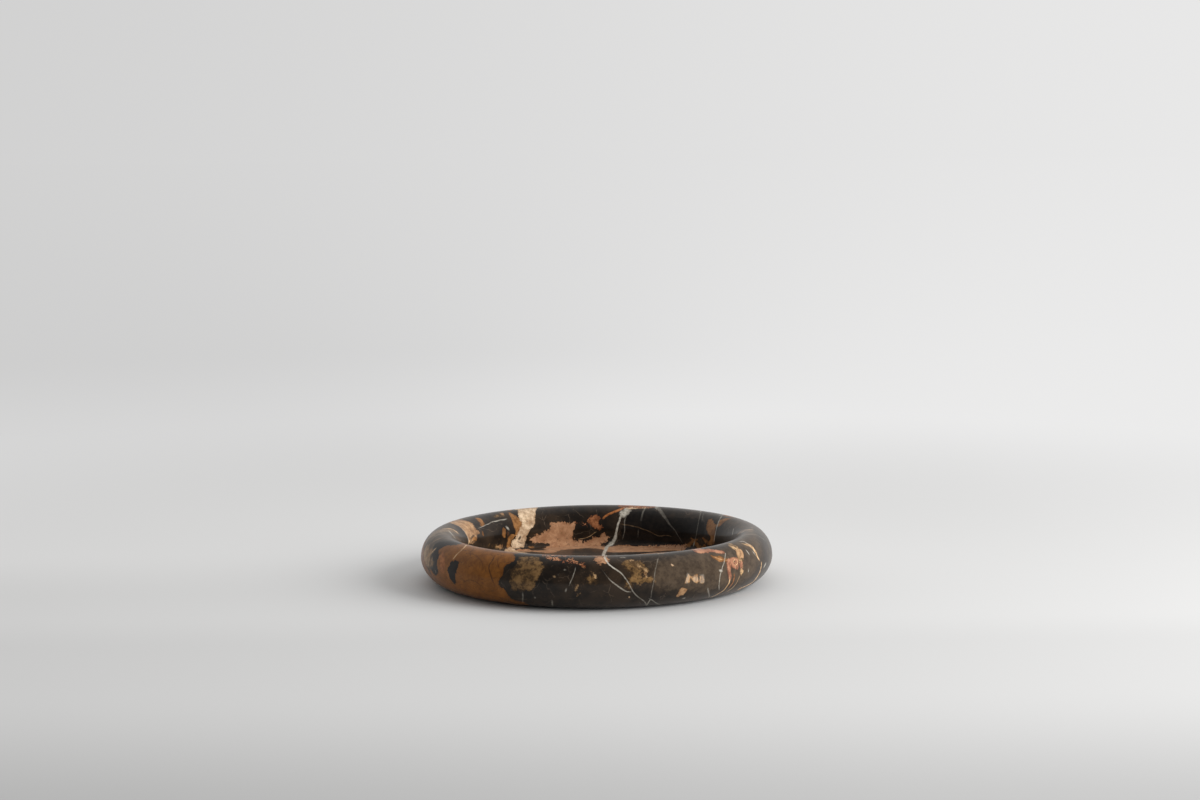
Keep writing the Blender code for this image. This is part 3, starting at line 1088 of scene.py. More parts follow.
# A vein's filling, widths, spots, side, strengths and fades
SEEN_VEINS = (
    # Both ends and the back wall
    Vein(Fill.WHITE, (3.8, 5.2, 3.0), ((629, 508.8), (626, 511), (623.4, 514), (622, 517.8)),
        strengths=0.95, fades_mm=1),
    Vein(Fill.WHITE, (0.3, 0.6, 0.8), ((477.5, 528.7), (482.6, 526.6), (486, 524.9), (489, 523.4),
        (491.5, 522.1), (495, 521.4), (500, 520.4), (504, 519.5), (507.5, 518.6)),
        strengths=(0.28, 0.5, 0.7)),
    Vein(Fill.DARK, 0.8, ((517.4, 541.4), (520.4, 543.2), (523.6, 543)), DISH, 0.5, (0.5, 1)),
    Vein(Fill.DARK, (1.0, 1.6, 1.2), ((520.8, 535.4), (519.8, 537.6), (518.4, 540.2)), DISH, 0.85, 0.5),
    Vein(Fill.WHITE, (0.6, 0.8), ((455.4, 524.2), (459.5, 526.6), (463.6, 530.2), (466.6, 534.8),
        (468.3, 539), (468.2, 542.6)), strengths=(0.3, 0.6)),
    Vein(Fill.WHITE, (1.2, 1.6, 1.2), ((506, 526.6), (507.4, 528), (509.2, 529.8)), strengths=0.6,
        fades_mm=0.5),
    Vein(Fill.RUST, 0.5, ((507.8, 530.4), (508, 533.4), (507.6, 536.6)), strengths=0.3, fades_mm=(0.5, 1)),
    Vein(Fill.GOLD, (0.8, 1.0, 0.8), ((468.2, 543.6), (466.4, 545.4), (464, 547.8), (460, 551.5),
        (456.4, 555), (454, 558), (452.4, 560)), RIM),
    Vein(Fill.GOLD, (5, 8, 8, 5), ((428, 541), (434, 534), (444, 530), (456, 532)), strengths=0.2),
    Vein(Fill.GOLD, (6, 8, 6), ((425, 548), (427, 556), (428.5, 565)), RIM, 0.28),
    Vein(Fill.RUST, (4, 5, 5, 4), ((441, 553), (442, 560), (442.6, 567), (442, 574)), RIM, 0.6),
    Vein(Fill.GOLD, (0.5, 0.7), ((728, 546), (733, 546.6), (737, 549.6), (739.6, 553.4)), RIM, 0.7),
    Vein(Fill.GOLD, (0.4, 0.5), ((712.6, 556.6), (719, 558.6), (727, 560.6)), RIM, 0.6),
    Vein(Fill.GOLD, 0.5, ((733.4, 562.4), (734, 559.6), (736, 558.8), (737.6, 561.4), (736.6, 564.4),
        (734.2, 564.8)), RIM, 0.7, 0.5),
    Vein(Fill.GOLD, (5, 6, 5), ((737, 534), (744, 530.6), (753, 529.4)), strengths=0.2),
    Vein(Fill.DARK, (0.5, 0.6), ((733, 558.6), (733.6, 563), (736.6, 566), (735.6, 571)), RIM, 0.7),
    Vein(Fill.DARK, (0.4, 0.5), ((730, 561), (731.6, 565), (730.8, 571)), RIM, 0.6),
    Vein(Fill.DARK, (0.4, 0.4), ((739, 548), (740.6, 553), (740, 559), (741, 566)), RIM, 0.5),
    Vein(Fill.DARK, 0.5, ((695.4, 574.6), (696.4, 579), (695.2, 583)), RIM, 0.8),
    Vein(Fill.DARK, 0.4, ((700.4, 574), (701.8, 578.4), (701, 583.4)), RIM, 0.8),
    Vein(Fill.GOLD, (1.4, 2.2), ((440.6, 529.4), (446, 528.6), (451.7, 528.9), (456, 531.5),
        (459.4, 534.4)), strengths=(0.45, 0.75)),
    Vein(Fill.WHITE, 1.3, ((447.5, 530), (450, 532), (453.3, 536), (455.4, 538.6)), strengths=0.4),
    Vein(Fill.GOLD, 0.8, ((425, 547), (427.4, 540.5), (431, 534.8), (436, 530)), strengths=0.3),
    Vein(Fill.GOLD, (1.6, 2.4, 1.4), ((424.4, 563), (425, 555), (427.6, 547.6), (431.4, 542)), RIM,
        (0.3, 0.4, 0.3)),
    Vein(Fill.GOLD, (1.2, 1.8), ((428.6, 568), (428.8, 560), (430.4, 553), (433, 548)), RIM, 0.4),
    Vein(Fill.GOLD, (1.0, 1.4), ((431.6, 566), (432, 560), (432.4, 556)), RIM, 0.35),
    Vein(Fill.GOLD, (0.9, 1.4), ((429, 542), (434, 537), (441, 534), (449, 534.6)), strengths=0.3),
    Vein(Fill.GOLD, (0.8, 1.0), ((431, 543.6), (437, 539.6), (443, 537.6)), strengths=0.4),
    Vein(Fill.DARK, (0.7, 0.9, 0.7), ((495.4, 555), (492.6, 560.4), (489.2, 566), (489.6, 572),
        (491.4, 578), (494.4, 585)), RIM, 0.7),
    Vein(Fill.DARK, (0.6, 0.7), ((470.4, 553), (476, 556), (481.6, 562), (483, 569)), RIM, 0.4),
    Vein(Fill.DARK, (0.6, 0.7), ((499, 557), (498, 563), (500, 570)), RIM, 0.5),
    Vein(Fill.DARK, (0.6, 0.7), ((462, 583), (469, 580), (476, 582), (484, 588)), RIM, 0.4),
    Vein(Fill.GOLD, 0.7, ((470.6, 538.4), (469.6, 541), (468.6, 543.4)), strengths=0.7, fades_mm=(1, 0)),
    Vein(Fill.GOLD, (1.3, 1.0), ((437, 547.4), (433.4, 550.6), (430.4, 554.8)), RIM, 0.85),
    Vein(Fill.WHITE, 0.9, ((434.8, 570), (435.8, 571.8), (435.6, 573)), strengths=0.7),
    Vein(Fill.GOLD, (0.35, 0.5, 0.4), ((577, 539), (582, 538.4), (586, 537.6), (590, 536), (592.5, 534.5),
        (595, 532.5), (597, 531.5)), strengths=0.5),
    Vein(Fill.RUST, (1.2, 1.6, 2.4), ((602, 519.5), (605, 516.5), (609, 514), (614, 512), (619, 510),
        (622.5, 508.6), (626, 507.8))),
    # The main white vein, from the back crest over the floor to the front foot
    Vein(Fill.WHITE, (1.3, 1.2, 1.3, 1.8, 2.6), ((621.8, 513.6), (619.8, 519.6), (617.8, 526), (616.4, 532),
        (615.4, 537), (613.6, 541), (611, 544.2)), fades_mm=0, waver_mm=0.15),
    Vein(Fill.WHITE, (2.4, 2.2, 2.0, 2.2), ((612, 543.4), (609.4, 545.6), (607, 547.2), (606, 549.4),
        (604.8, 551.6), (603.6, 554), (603, 557)), DISH, fades_mm=(0, 2)),
    Vein(Fill.WHITE, (0.8, 0.7, 0.6), ((627, 515), (625, 520), (624.4, 524), (624.6, 530), (623.4, 536),
        (622, 540)), strengths=0.25),
    Vein(Fill.WHITE, (1.1, 0.7, 0.65, 0.6, 0.7, 0.8, 0.8), ((604.6, 557), (606.5, 560.4), (609.6, 564.6),
        (614, 568), (618.4, 571), (621, 573), (624, 576.4), (626, 579), (628.4, 582.6), (630, 586),
        (632, 590), (634, 593), (638.6, 597.6), (644, 601.4), (646.4, 604.6)), RIM,
        (1, 0.9, 0.7, 0.5, 0.32, 0.32, 0.34), (0, 1)),
    Vein(Fill.WHITE, (0.3, 0.4, 0.7, 0.8, 0.5), ((600, 567.6), (605, 574.5), (609, 579.4), (612, 582),
        (617, 585.4), (621.6, 588.4), (626.6, 591.3), (631.8, 591.8)), RIM, (0.03, 0.12, 0.55, 0.65, 0.4),
        (5, 1)),
    Vein(Fill.WHITE, 1.0, ((619.8, 557.8), (622.8, 557.2), (626, 557.6)), RIM, 0.35, 0.8),
    Vein(Fill.GOLD, 1.5, ((657, 553.8), (660.4, 553.2), (664, 553.4)), RIM, 0.45, 0.8),
    Vein(Fill.WHITE, 1.1, ((682.2, 598.6), (685.6, 598)), RIM, 0.5, 0.4),
    Vein(Fill.WHITE, (0.7, 0.7), ((646.6, 604.8), (648.3, 602.5), (650.6, 598.8)), RIM, 0.45, (0, 1)),
    Vein(Fill.WHITE, (0.6, 0.6), ((651, 599), (653, 600.6), (656, 603), (659, 604.6)), RIM, 0.32, (0, 1)),
    Vein(Fill.WHITE, (0.5, 0.5, 0.5), ((658, 558), (656.4, 565), (655, 572), (653.7, 580.6), (652.6, 586),
        (651.6, 592), (651, 598)), RIM, (0.2, 0.2, 0.16), (1, 0.5)),
    Vein(Fill.WHITE, 2.2, ((688.2, 573.4), (687.8, 578), (686.4, 583.4)), RIM, 0.26, 0.3),
    Vein(Fill.WHITE, 2.6, ((695.4, 576), (695.8, 582.2)), RIM, 0.26, 0.3),
    Vein(Fill.WHITE, 3.2, ((702, 574), (702.2, 583)), RIM, 0.26, 0.3),
    # Other veins of the front
    Vein(Fill.WHITE, (0.4, 0.5, 0.5, 0.4), ((575.4, 566.5), (574.4, 571), (572.6, 577), (570.6, 582),
        (568.6, 586.5)), RIM, 0.42),
    Vein(Fill.WHITE, (0.8, 1.0), ((566.8, 587.6), (565.4, 592)), RIM, 0.4, 1),
    Vein(Fill.WHITE, 0.8, ((522.3, 591), (522.8, 597), (522.8, 603)), RIM, 0.3),
    Vein(Fill.WHITE, 0.8, ((552.4, 600), (552.6, 606)), RIM, 0.35, (1, 0)),
    Vein(Fill.WHITE, 0.9, ((556.4, 574), (558.4, 574.6)), RIM, 0.28, 0.5),
    Vein(Fill.GOLD, 1.0, ((553.2, 576.4), (556, 576.8)), RIM, 0.4, 0.5),
    Vein(Fill.WHITE, 0.8, ((564.4, 569.6), (566, 570)), RIM, 0.35, 0.4),
    Vein(Fill.DARK, (0.8, 1.2, 0.8), ((470.8, 542), (471.2, 538.6), (472.4, 536.4), (474.6, 534.8)),
        strengths=0.8, fades_mm=(0.5, 1)),
    Vein(Fill.DARK, 0.9, ((471.6, 543), (473.4, 541.4), (476, 540.6)), strengths=0.75, fades_mm=(0.5, 1)),
    Vein(Fill.WHITE, 1.0, ((534.8, 596.6), (535.2, 598.6)), RIM, 0.35, 0.5),
    # Back right
    Vein(Fill.WHITE, (2.4, 2.0, 1.6, 0.9, 0.7, 0.6), ((658.2, 508), (661, 511.4), (664, 516), (667.4, 521),
        (672, 527), (675, 530.5), (678, 535.5), (681, 540), (683, 544)), strengths=(0.22, 0.18, 0.15, 0.12),
        fades_mm=(0, 2)),
    Vein(Fill.WHITE, (1.2, 1.0), ((645.4, 508.6), (643.5, 511.5), (642, 516), (641, 522)), strengths=0.2,
        fades_mm=(1, 4)),
    Vein(Fill.WHITE, 0.7, ((638.6, 529), (637.6, 538)), strengths=0.2, fades_mm=3),
    Vein(Fill.GOLD, (0.7, 0.6), ((620, 524), (630, 525.5), (638, 527), (645, 529.5), (651, 532),
        (656, 534.5), (660, 535.7), (667, 535.3), (672, 536.5)), strengths=0.16),
    Vein(Fill.WHITE, (1.0, 0.8, 0.7), ((701.4, 511.8), (700, 515.5), (698.8, 520), (697.6, 526),
        (696.8, 530), (696.4, 534.5), (695.5, 539), (694.2, 543), (693.5, 546)), strengths=0.16),
    Vein(Fill.WHITE, 0.6, ((703.4, 512.6), (702.4, 518), (701.6, 523)), strengths=0.14),
    Vein(Fill.WHITE, 1.0, ((694.8, 540.4), (694, 543.4), (693.4, 546.2)), DISH, 0.55, (1, 0.5)),
    Vein(Fill.WHITE, (0.9, 0.8, 0.6), ((721.6, 516), (720.2, 518.5), (718.8, 521.6), (717.2, 526),
        (716, 531), (715.2, 535), (714.5, 539), (713.6, 543.4)), strengths=0.55, fades_mm=(0.5, 2)),
    Vein(Fill.WHITE, 0.8, ((733.8, 528), (733, 531), (732.3, 535)), strengths=0.6, fades_mm=1),
    # A faint white line along the right crest: a painted highlight where the crest turns away
    Vein(Fill.WHITE, (0.8, 0.6), ((740, 536.4), (748, 534.2), (756, 534.6), (761, 537.4), (766, 541.4)),
        strengths=0.25),
    # Right end
    Vein(Fill.GOLD, (0.8, 1.1, 0.7), ((738.4, 534.4), (743, 531.8), (748, 530), (754, 529)),
        strengths=0.55),
    Vein(Fill.GOLD, 0.7, ((743.3, 533), (749, 531.4), (754.5, 530.8)), strengths=0.4),
    Vein(Fill.GOLD, 0.6, ((745, 527.8), (750, 527.2), (755, 528.2)), strengths=0.3),
    Vein(Fill.WHITE, (0.55, 0.6, 0.5, 0.5), ((725, 552.5), (724.8, 557), (724, 562), (722.5, 566.5),
        (721.8, 570), (720.5, 575), (719.8, 580), (719, 586), (719.3, 590)), RIM, 0.6, (0.5, 2)),
    Vein(Fill.WHITE, 1.4, ((719.6, 570.2), (722.2, 570.8)), RIM, 0.7, 0.5),
    Vein(Fill.WHITE, 0.8, ((707.8, 587), (708.5, 592), (709, 597)), RIM, 0.3, (1, 0)),
    Vein(Fill.GOLD, (0.9, 0.8, 0.8, 0.8), ((729.6, 580), (729, 583), (726.5, 586.5), (724, 590),
        (719.5, 593), (715, 595.5), (710, 597.6)), RIM, 0.9, (0, 1)),
    Vein(Fill.GOLD, 0.8, ((739.6, 575), (738, 580), (735, 585), (731, 589), (726, 592)), RIM, 0.5),
    Vein(Fill.RUST, 0.9, ((734, 572), (734, 578), (732, 584), (727.6, 589)), RIM, 0.6),
    Vein(Fill.GOLD, (1.0, 1.8, 2.8, 2.8, 2.2, 1.4, 0.9), ((740.6, 543), (744.5, 544.6), (748, 544.8),
        (751.4, 546.6), (754, 549.6), (756, 553), (757.4, 556.6), (760, 561)), RIM, 0.8, (3, 2)),
    Vein(Fill.WHITE, 0.9, ((739.6, 541.8), (743, 541.2), (746.4, 543), (750, 545.4)), RIM, 0.4, 1),
    Vein(Fill.WHITE, (1.4, 1.2), ((766.2, 562.4), (765, 565.4), (763.4, 568.2)), RIM, 0.45, 0.8),
    Vein(Fill.WHITE, 0.8, ((745.6, 549.4), (747.6, 552), (749.8, 555.6)), RIM, 0.7, 1),
    Vein(Fill.WHITE, 0.9, ((752.2, 550.8), (753.8, 553), (755.6, 555.4)), RIM, 0.6, 0.6),
    Vein(Fill.GOLD, (0.8, 1.4, 1.6, 1.8), ((761.4, 561), (761, 568), (759, 573.5), (755.5, 579),
        (752, 582.6), (746, 586), (738, 589.2)), RIM, 0.95, (1, 0.5)),
    Vein(Fill.WHITE, 0.7, ((748.5, 568.2), (748.4, 570.4), (748.2, 572.6)), RIM, 0.5, 0.8),
)

LAID_BLOTS = (
    # Over the back crest and down the outside
    Blot(Tone.CREAM, polar((123.2, 100), (123.6, 106), (124.6, 112), (122.2, 118), (124.4, 125),
        (125.4, 131), (122.6, 136), (124, 142), (121, 149), (117.6, 146), (118.4, 140), (115.4, 134),
        (117.4, 127), (114.4, 121), (116.4, 114), (114.2, 108), (114.6, 100))),
    Blot(Tone.ORANGE, polar((126.4, 101), (128, 107), (126.6, 113), (129.4, 119), (127.4, 126),
        (125.8, 122), (125.6, 115), (124.6, 110), (125, 104))),
    Blot(Tone.TAN, polar((162.4, 103), (163.8, 109), (161.4, 114), (163.6, 121), (161.6, 128), (163.8, 134),
        (160.4, 139), (157.6, 134), (159, 127), (155.8, 121), (157.4, 113), (154, 107), (155.8, 100))),
    Blot(Tone.RUST, polar((80.4, 99.6), (80.8, 104), (78.4, 108), (75.6, 106.4), (73.8, 110), (70.8, 106.6),
        (68.4, 108.8), (66, 104), (66.2, 100), (70, 98.6), (76, 98.8))),
    Blot(Tone.OCHRE, polar((33.4, 104), (35.6, 110), (33.8, 117), (36, 124), (32.8, 130), (27.8, 127),
        (25.4, 120), (27.6, 112), (24.6, 106), (28, 101.6))),
    # Lighter brown stone round both ends, carrying their painted sheen on out of view
    Blot(Tone.BROWN_AND_SHEEN, polar((26, 98), (30, 108), (26, 122), (30, 136), (16, 144), (0, 142), (-12, 138),
        (-14, 122), (-4, 108), (6, 100), (16, 97))),
    Blot(Tone.BROWN_AND_SHEEN, polar((150, 100), (152, 112), (158, 124), (170, 134), (-176, 138), (-168, 132),
        (-166, 120), (-174, 108), (176, 101), (164, 99))),
    # Round the left end, over the near crest and under the foot
    Blot(Tone.OCHRE, polar((-172, 116), (-178, 113.6), (176.4, 117), (172.6, 122), (174.6, 128),
        (170.8, 134), (175, 140), (-178, 145), (-171, 141), (-163, 138), (-158, 132), (-162, 124))),
    Blot(Tone.OCHRE, polar((-150.4, 103), (-149.4, 96), (-146, 90), (-143.4, 93), (-139, 85.6),
        (-134, 80.4), (-130, 86), (-126.4, 81.6), (-123, 88), (-120.6, 96), (-119, 104), (-126, 107),
        (-138, 107), (-147, 106))),
    Blot(Tone.OCHRE, polar((-157, 127), (-158.6, 136), (-154, 146), (-149, 157), (-142, 166), (-136, 158),
        (-131, 168), (-123, 158), (-117.6, 150), (-113.8, 141), (-115, 136), (-124, 132), (-140, 131),
        (-150, 128))),
    Blot(Tone.FLECK, polar((-110, 103), (-109.4, 96), (-105, 90), (-100.6, 95), (-97.4, 100), (-101, 105),
        (-106, 105))),
    Blot(Tone.ORANGE, polar((-92.6, 102), (-93.4, 96), (-90, 90.6), (-86.4, 93), (-84.4, 99.6),
        (-86.6, 104), (-90, 105))),
    Blot(Tone.PINK, polar((-56, 101), (-58.4, 94), (-55, 88), (-51.4, 92), (-49, 97), (-50, 102),
        (-53, 104))),
    # Over the floor of the dish
    Blot(Tone.CREAM, plan((-51.5, 56.6), (-56.4, 46), (-59.6, 34), (-55.6, 22), (-57.4, 10), (-51, 6),
        (-46.4, 17), (-48.6, 27), (-43.6, 37), (-40, 45.4), (-41.6, 51))),
    Blot(Tone.SALMON, plan((44.6, 48.4), (40.4, 37), (33, 29), (35, 18), (25, 7.4), (13, 13), (6.4, 1.6),
        (-5, 5.4), (-11, 16), (-20, 22), (-16, 33), (-12.4, 40.4), (3.8, 37), (19.6, 39.6), (32, 46))),
    Blot(Tone.SALMON, plan((-37, 2), (-31, 8), (-24, 9), (-17, 6), (-19, 0), (-24, -2), (-26, -8),
        (-32, -6), (-38, -4))),
    Blot(Tone.TAN, plan((20, -12), (27, -8), (35, -11), (42, -9), (47, -14), (44, -19), (48, -25),
        (41, -28), (36, -24), (30, -27), (27, -21), (22, -19))),
    Blot(Tone.OLIVE, plan((-15, -30), (-4, -35), (5, -27), (6, -39), (15, -44), (4, -47), (1, -58),
        (-9, -50), (-20, -56), (-17, -45), (-26, -40), (-14, -39))),
    Blot(Tone.RUST, plan((-52, -16), (-45, -14), (-38, -17), (-33, -23), (-36, -29), (-31, -35), (-36, -38),
        (-42, -32), (-46, -33), (-49, -25))),
)

LAID_VEINS = (
    # The main white vein, over the floor and under the foot, and over the back crest
    Vein(Fill.WHITE, (2.0, 2.4, 1.8, 2.0, 1.6, 1.4, 1.5), (*plan((3.4, 34.4), (1, 22), (4, 8), (-3, -10),
        (-0.6, -28), (3.4, -46), (4.8, -60)), *polar((-86, 79), (-84.4, 88), (-86.6, 96), (-86.8, 101.6))),
        fades_mm=0),
    Vein(Fill.WHITE, (0.7, 0.9, 0.7, 0.6), polar((-73.2, 139.6), (-71, 148), (-73.4, 160), (-68.6, 175),
        (-72, 190), (-64, 206)), strengths=0.7, fades_mm=(0, 6)),
    Vein(Fill.WHITE, (0.6, 0.5), polar((-68.6, 140), (-66.8, 147), (-63, 158)), strengths=(0.6, 0.4),
        fades_mm=(0, 5)),
    Vein(Fill.WHITE, (1.6, 1.3, 1.5, 1.0, 0.9), polar((78.8, 104.6), (81, 114), (79.4, 122), (82, 131),
        (80.8, 140), (83, 151), (80.6, 166), (84, 182)), fades_mm=(4, 6)),
    # The other veins of the back, carried down the outside
    Vein(Fill.WHITE, (2.2, 1.8, 1.4, 1.2), polar((64.8, 100.4), (66.4, 110), (64.8, 119), (68, 129),
        (66.4, 139), (69, 151)), strengths=(0.42, 0.5, 0.36), fades_mm=(0, 5)),
    Vein(Fill.WHITE, (0.9, 0.8), polar((44.4, 102), (45.6, 111), (43.8, 121), (46, 131), (44.8, 142),
        (47, 157)), strengths=0.5, fades_mm=(0, 5)),
    Vein(Fill.WHITE, (0.9, 0.8), polar((32, 101.8), (31, 110), (32.6, 119), (30.4, 129), (32, 139),
        (31, 151)), strengths=0.5, fades_mm=(0, 5)),
    Vein(Fill.WHITE, (0.8, 0.7, 0.6), (*plan((51.6, 48.6), (41, 32), (36.4, 14), (27, -8), (30, -30),
        (21, -50)), Polar(-72, 73), Polar(-69, 84)), strengths=(0.45, 0.3), fades_mm=(2, 5)),
    # The strands of the right end, carried under the foot
    Vein(Fill.GOLD, (1.2, 1.0, 0.8), polar((-33, 137), (-34.6, 142), (-39, 149), (-46, 155), (-50, 164)),
        strengths=(0.9, 0.6), fades_mm=(0, 5)),
    Vein(Fill.GOLD, (0.8, 0.7), polar((-47, 140.6), (-50, 145), (-56, 153), (-59, 163)),
        strengths=(0.8, 0.5), fades_mm=(0, 5)),
)


class HiddenSides:
    """The veining out of the photograph's view: what runs on from the seen side, and more of the same."""

    blot_count = 90
    vein_count = 34
    keep_clear = 5.0
    blot_margin = 3.0
    vein_start = 1.0
    vein_ramp = 5.0
    tones = (Tone.OLIVE, Tone.TAN, Tone.ORANGE, Tone.GOLD, Tone.RUST, Tone.SALMON, Tone.FLECK, Tone.OCHRE,
             Tone.CREAM, Tone.BROWN_AND_SHEEN)
    shares = (0.17, 0.13, 0.09, 0.12, 0.09, 0.06, 0.11, 0.06, 0.04, 0.13)
    reaches_mm = {Tone.OLIVE: 9, Tone.BROWN_AND_SHEEN: 15, Tone.OCHRE: 10, Tone.SALMON: 10, Tone.FLECK: 8}
    other_reach_mm = 4
    sizes = (0.4, 1.2)
    lengths = (1.2, 3.2)
    lean = (0.5, 0.7)
    lobe_count = 13
    lobes = (0.3, 0.6, 0.9, 1.2, 1.5)
    lobe_shares = (0.14, 0.24, 0.28, 0.22, 0.12)
    laid_margin = 0.6
    fills = (Fill.WHITE, Fill.GOLD, Fill.RUST)
    fill_shares = (0.6, 0.22, 0.18)
    vein_legs = (3, 10)
    vein_turn = 0.35
    strides_mm = (5, 10)
    # Least, most and how many of them along a vein
    vein_widths = (0.5, 1.2, 4)
    vein_strengths = (0.3, 0.9, 3)
    vein_fades_mm = (4, 5)
    vein_waver_mm = 0.35

    def __init__(self, veining: Veining) -> None:
        """Takes over the drawing of the stone.

        Args:
            veining: The drawing, with the seen side done.
        """
        self.veining = veining
        self.chart = veining.chart
        self.rng = veining.rng
        self.room = veining.hidden - self.blot_margin
        self.free = np.flatnonzero(veining.hidden > self.keep_clear)
        gaps = self.chart.step_weights()[self.free]
        self.odds = gaps / gaps.sum()

    def start(self) -> Polar:
        """A random place out of view, evenly over the surface."""
        index = self.rng.choice(self.free, p=self.odds)
        x, y = self.chart.flat[index]
        return Polar(math.degrees(math.atan2(y, x)), math.hypot(x, y))

    def random_blot(self) -> Blot:
        """A ragged long patch of a random tone."""
        tone = self.tones[self.rng.choice(len(self.tones), p=self.shares)]
        middle = self.start()
        size = self.reaches_mm.get(tone, self.other_reach_mm) * self.rng.uniform(*self.sizes)
        length = self.rng.uniform(*self.lengths)
        turn = self.rng.normal(*self.lean)
        cosine, sine = math.cos(turn), math.sin(turn)
        corners = []
        for angle in np.linspace(0, math.tau, self.lobe_count, endpoint=False):
            reach = size * self.rng.choice(self.lobes, p=self.lobe_shares)
            across, along = reach * length * math.cos(angle), reach * math.sin(angle)
            step = (across * cosine - along * sine, across * sine + along * cosine)
            corners.append(self.chart.beside(middle, *step))
        return Blot(tone, tuple(corners))

    def random_vein(self) -> Vein:
        """A wandering vein."""
        fill = self.fills[self.rng.choice(len(self.fills), p=self.fill_shares)]
        spots = [self.start()]
        heading = self.rng.uniform(0, math.tau)
        for _ in range(int(self.rng.integers(*self.vein_legs))):
            heading += self.rng.normal(0, self.vein_turn)
            stride = self.rng.uniform(*self.strides_mm)
            step = (stride * math.cos(heading), stride * math.sin(heading))
            spots.append(self.chart.beside(spots[-1], *step))
        return Vein(
            fill,
            tuple(self.rng.uniform(*self.vein_widths)),
            tuple(spots),
            strengths=tuple(self.rng.uniform(*self.vein_strengths)),
            fades_mm=self.vein_fades_mm,
            waver_mm=self.vein_waver_mm,
        )

    def draw(self) -> None:
        """Draws the laid features, then the random ones."""
        for blot in LAID_BLOTS:
            self.veining.draw_blot(blot, self.room + self.blot_margin + self.laid_margin)
        for vein in LAID_VEINS:
            self.veining.draw_vein(vein)
        fade = np.clip((self.veining.hidden - self.vein_start) / self.vein_ramp, 0, 1)
        for _ in range(self.blot_count):
            self.veining.draw_blot(self.random_blot(), self.room)
        for _ in range(self.vein_count):
            self.veining.draw_vein(self.random_vein(), fade)
        LOG.info("hidden sides drawn")


@dataclass(frozen=True)
class ToneLook:
    """One tone's colours, and the raggedness of its edge in millimetres."""

    dark: Colour
    light: Colour
    ragged: float = 4.0
    frayed: float = 1.0
    soft: float = 0.16
    cracks: float = 0.0
    shrink: float = 0.0
    spread: float = 0.13
    cap: float = 9.0


@dataclass(frozen=True)
class FillLook:
    """One vein filling's colours, and how much of it is missing."""

    dark: Colour
    light: Colour
    gaps: float = 0.3
    gap_end: float = 0.52

    def whole(self, fray: Wire) -> Wire:
        """Mask of where the filling isn't missing."""
        return fray.rise(NOISE_MIDDLE - self.gaps, self.gap_end - self.gaps / 2)


@dataclass(frozen=True)
class StoneNoises:
    """The board, and the noises that the marble is made of, from the broadest to the finest."""

    board: Board
    warped: Wire
    clouds: Wire
    mottle: list[Wire]
    fray: list[Wire]
    shred: list[Wire]
    grain: Wire


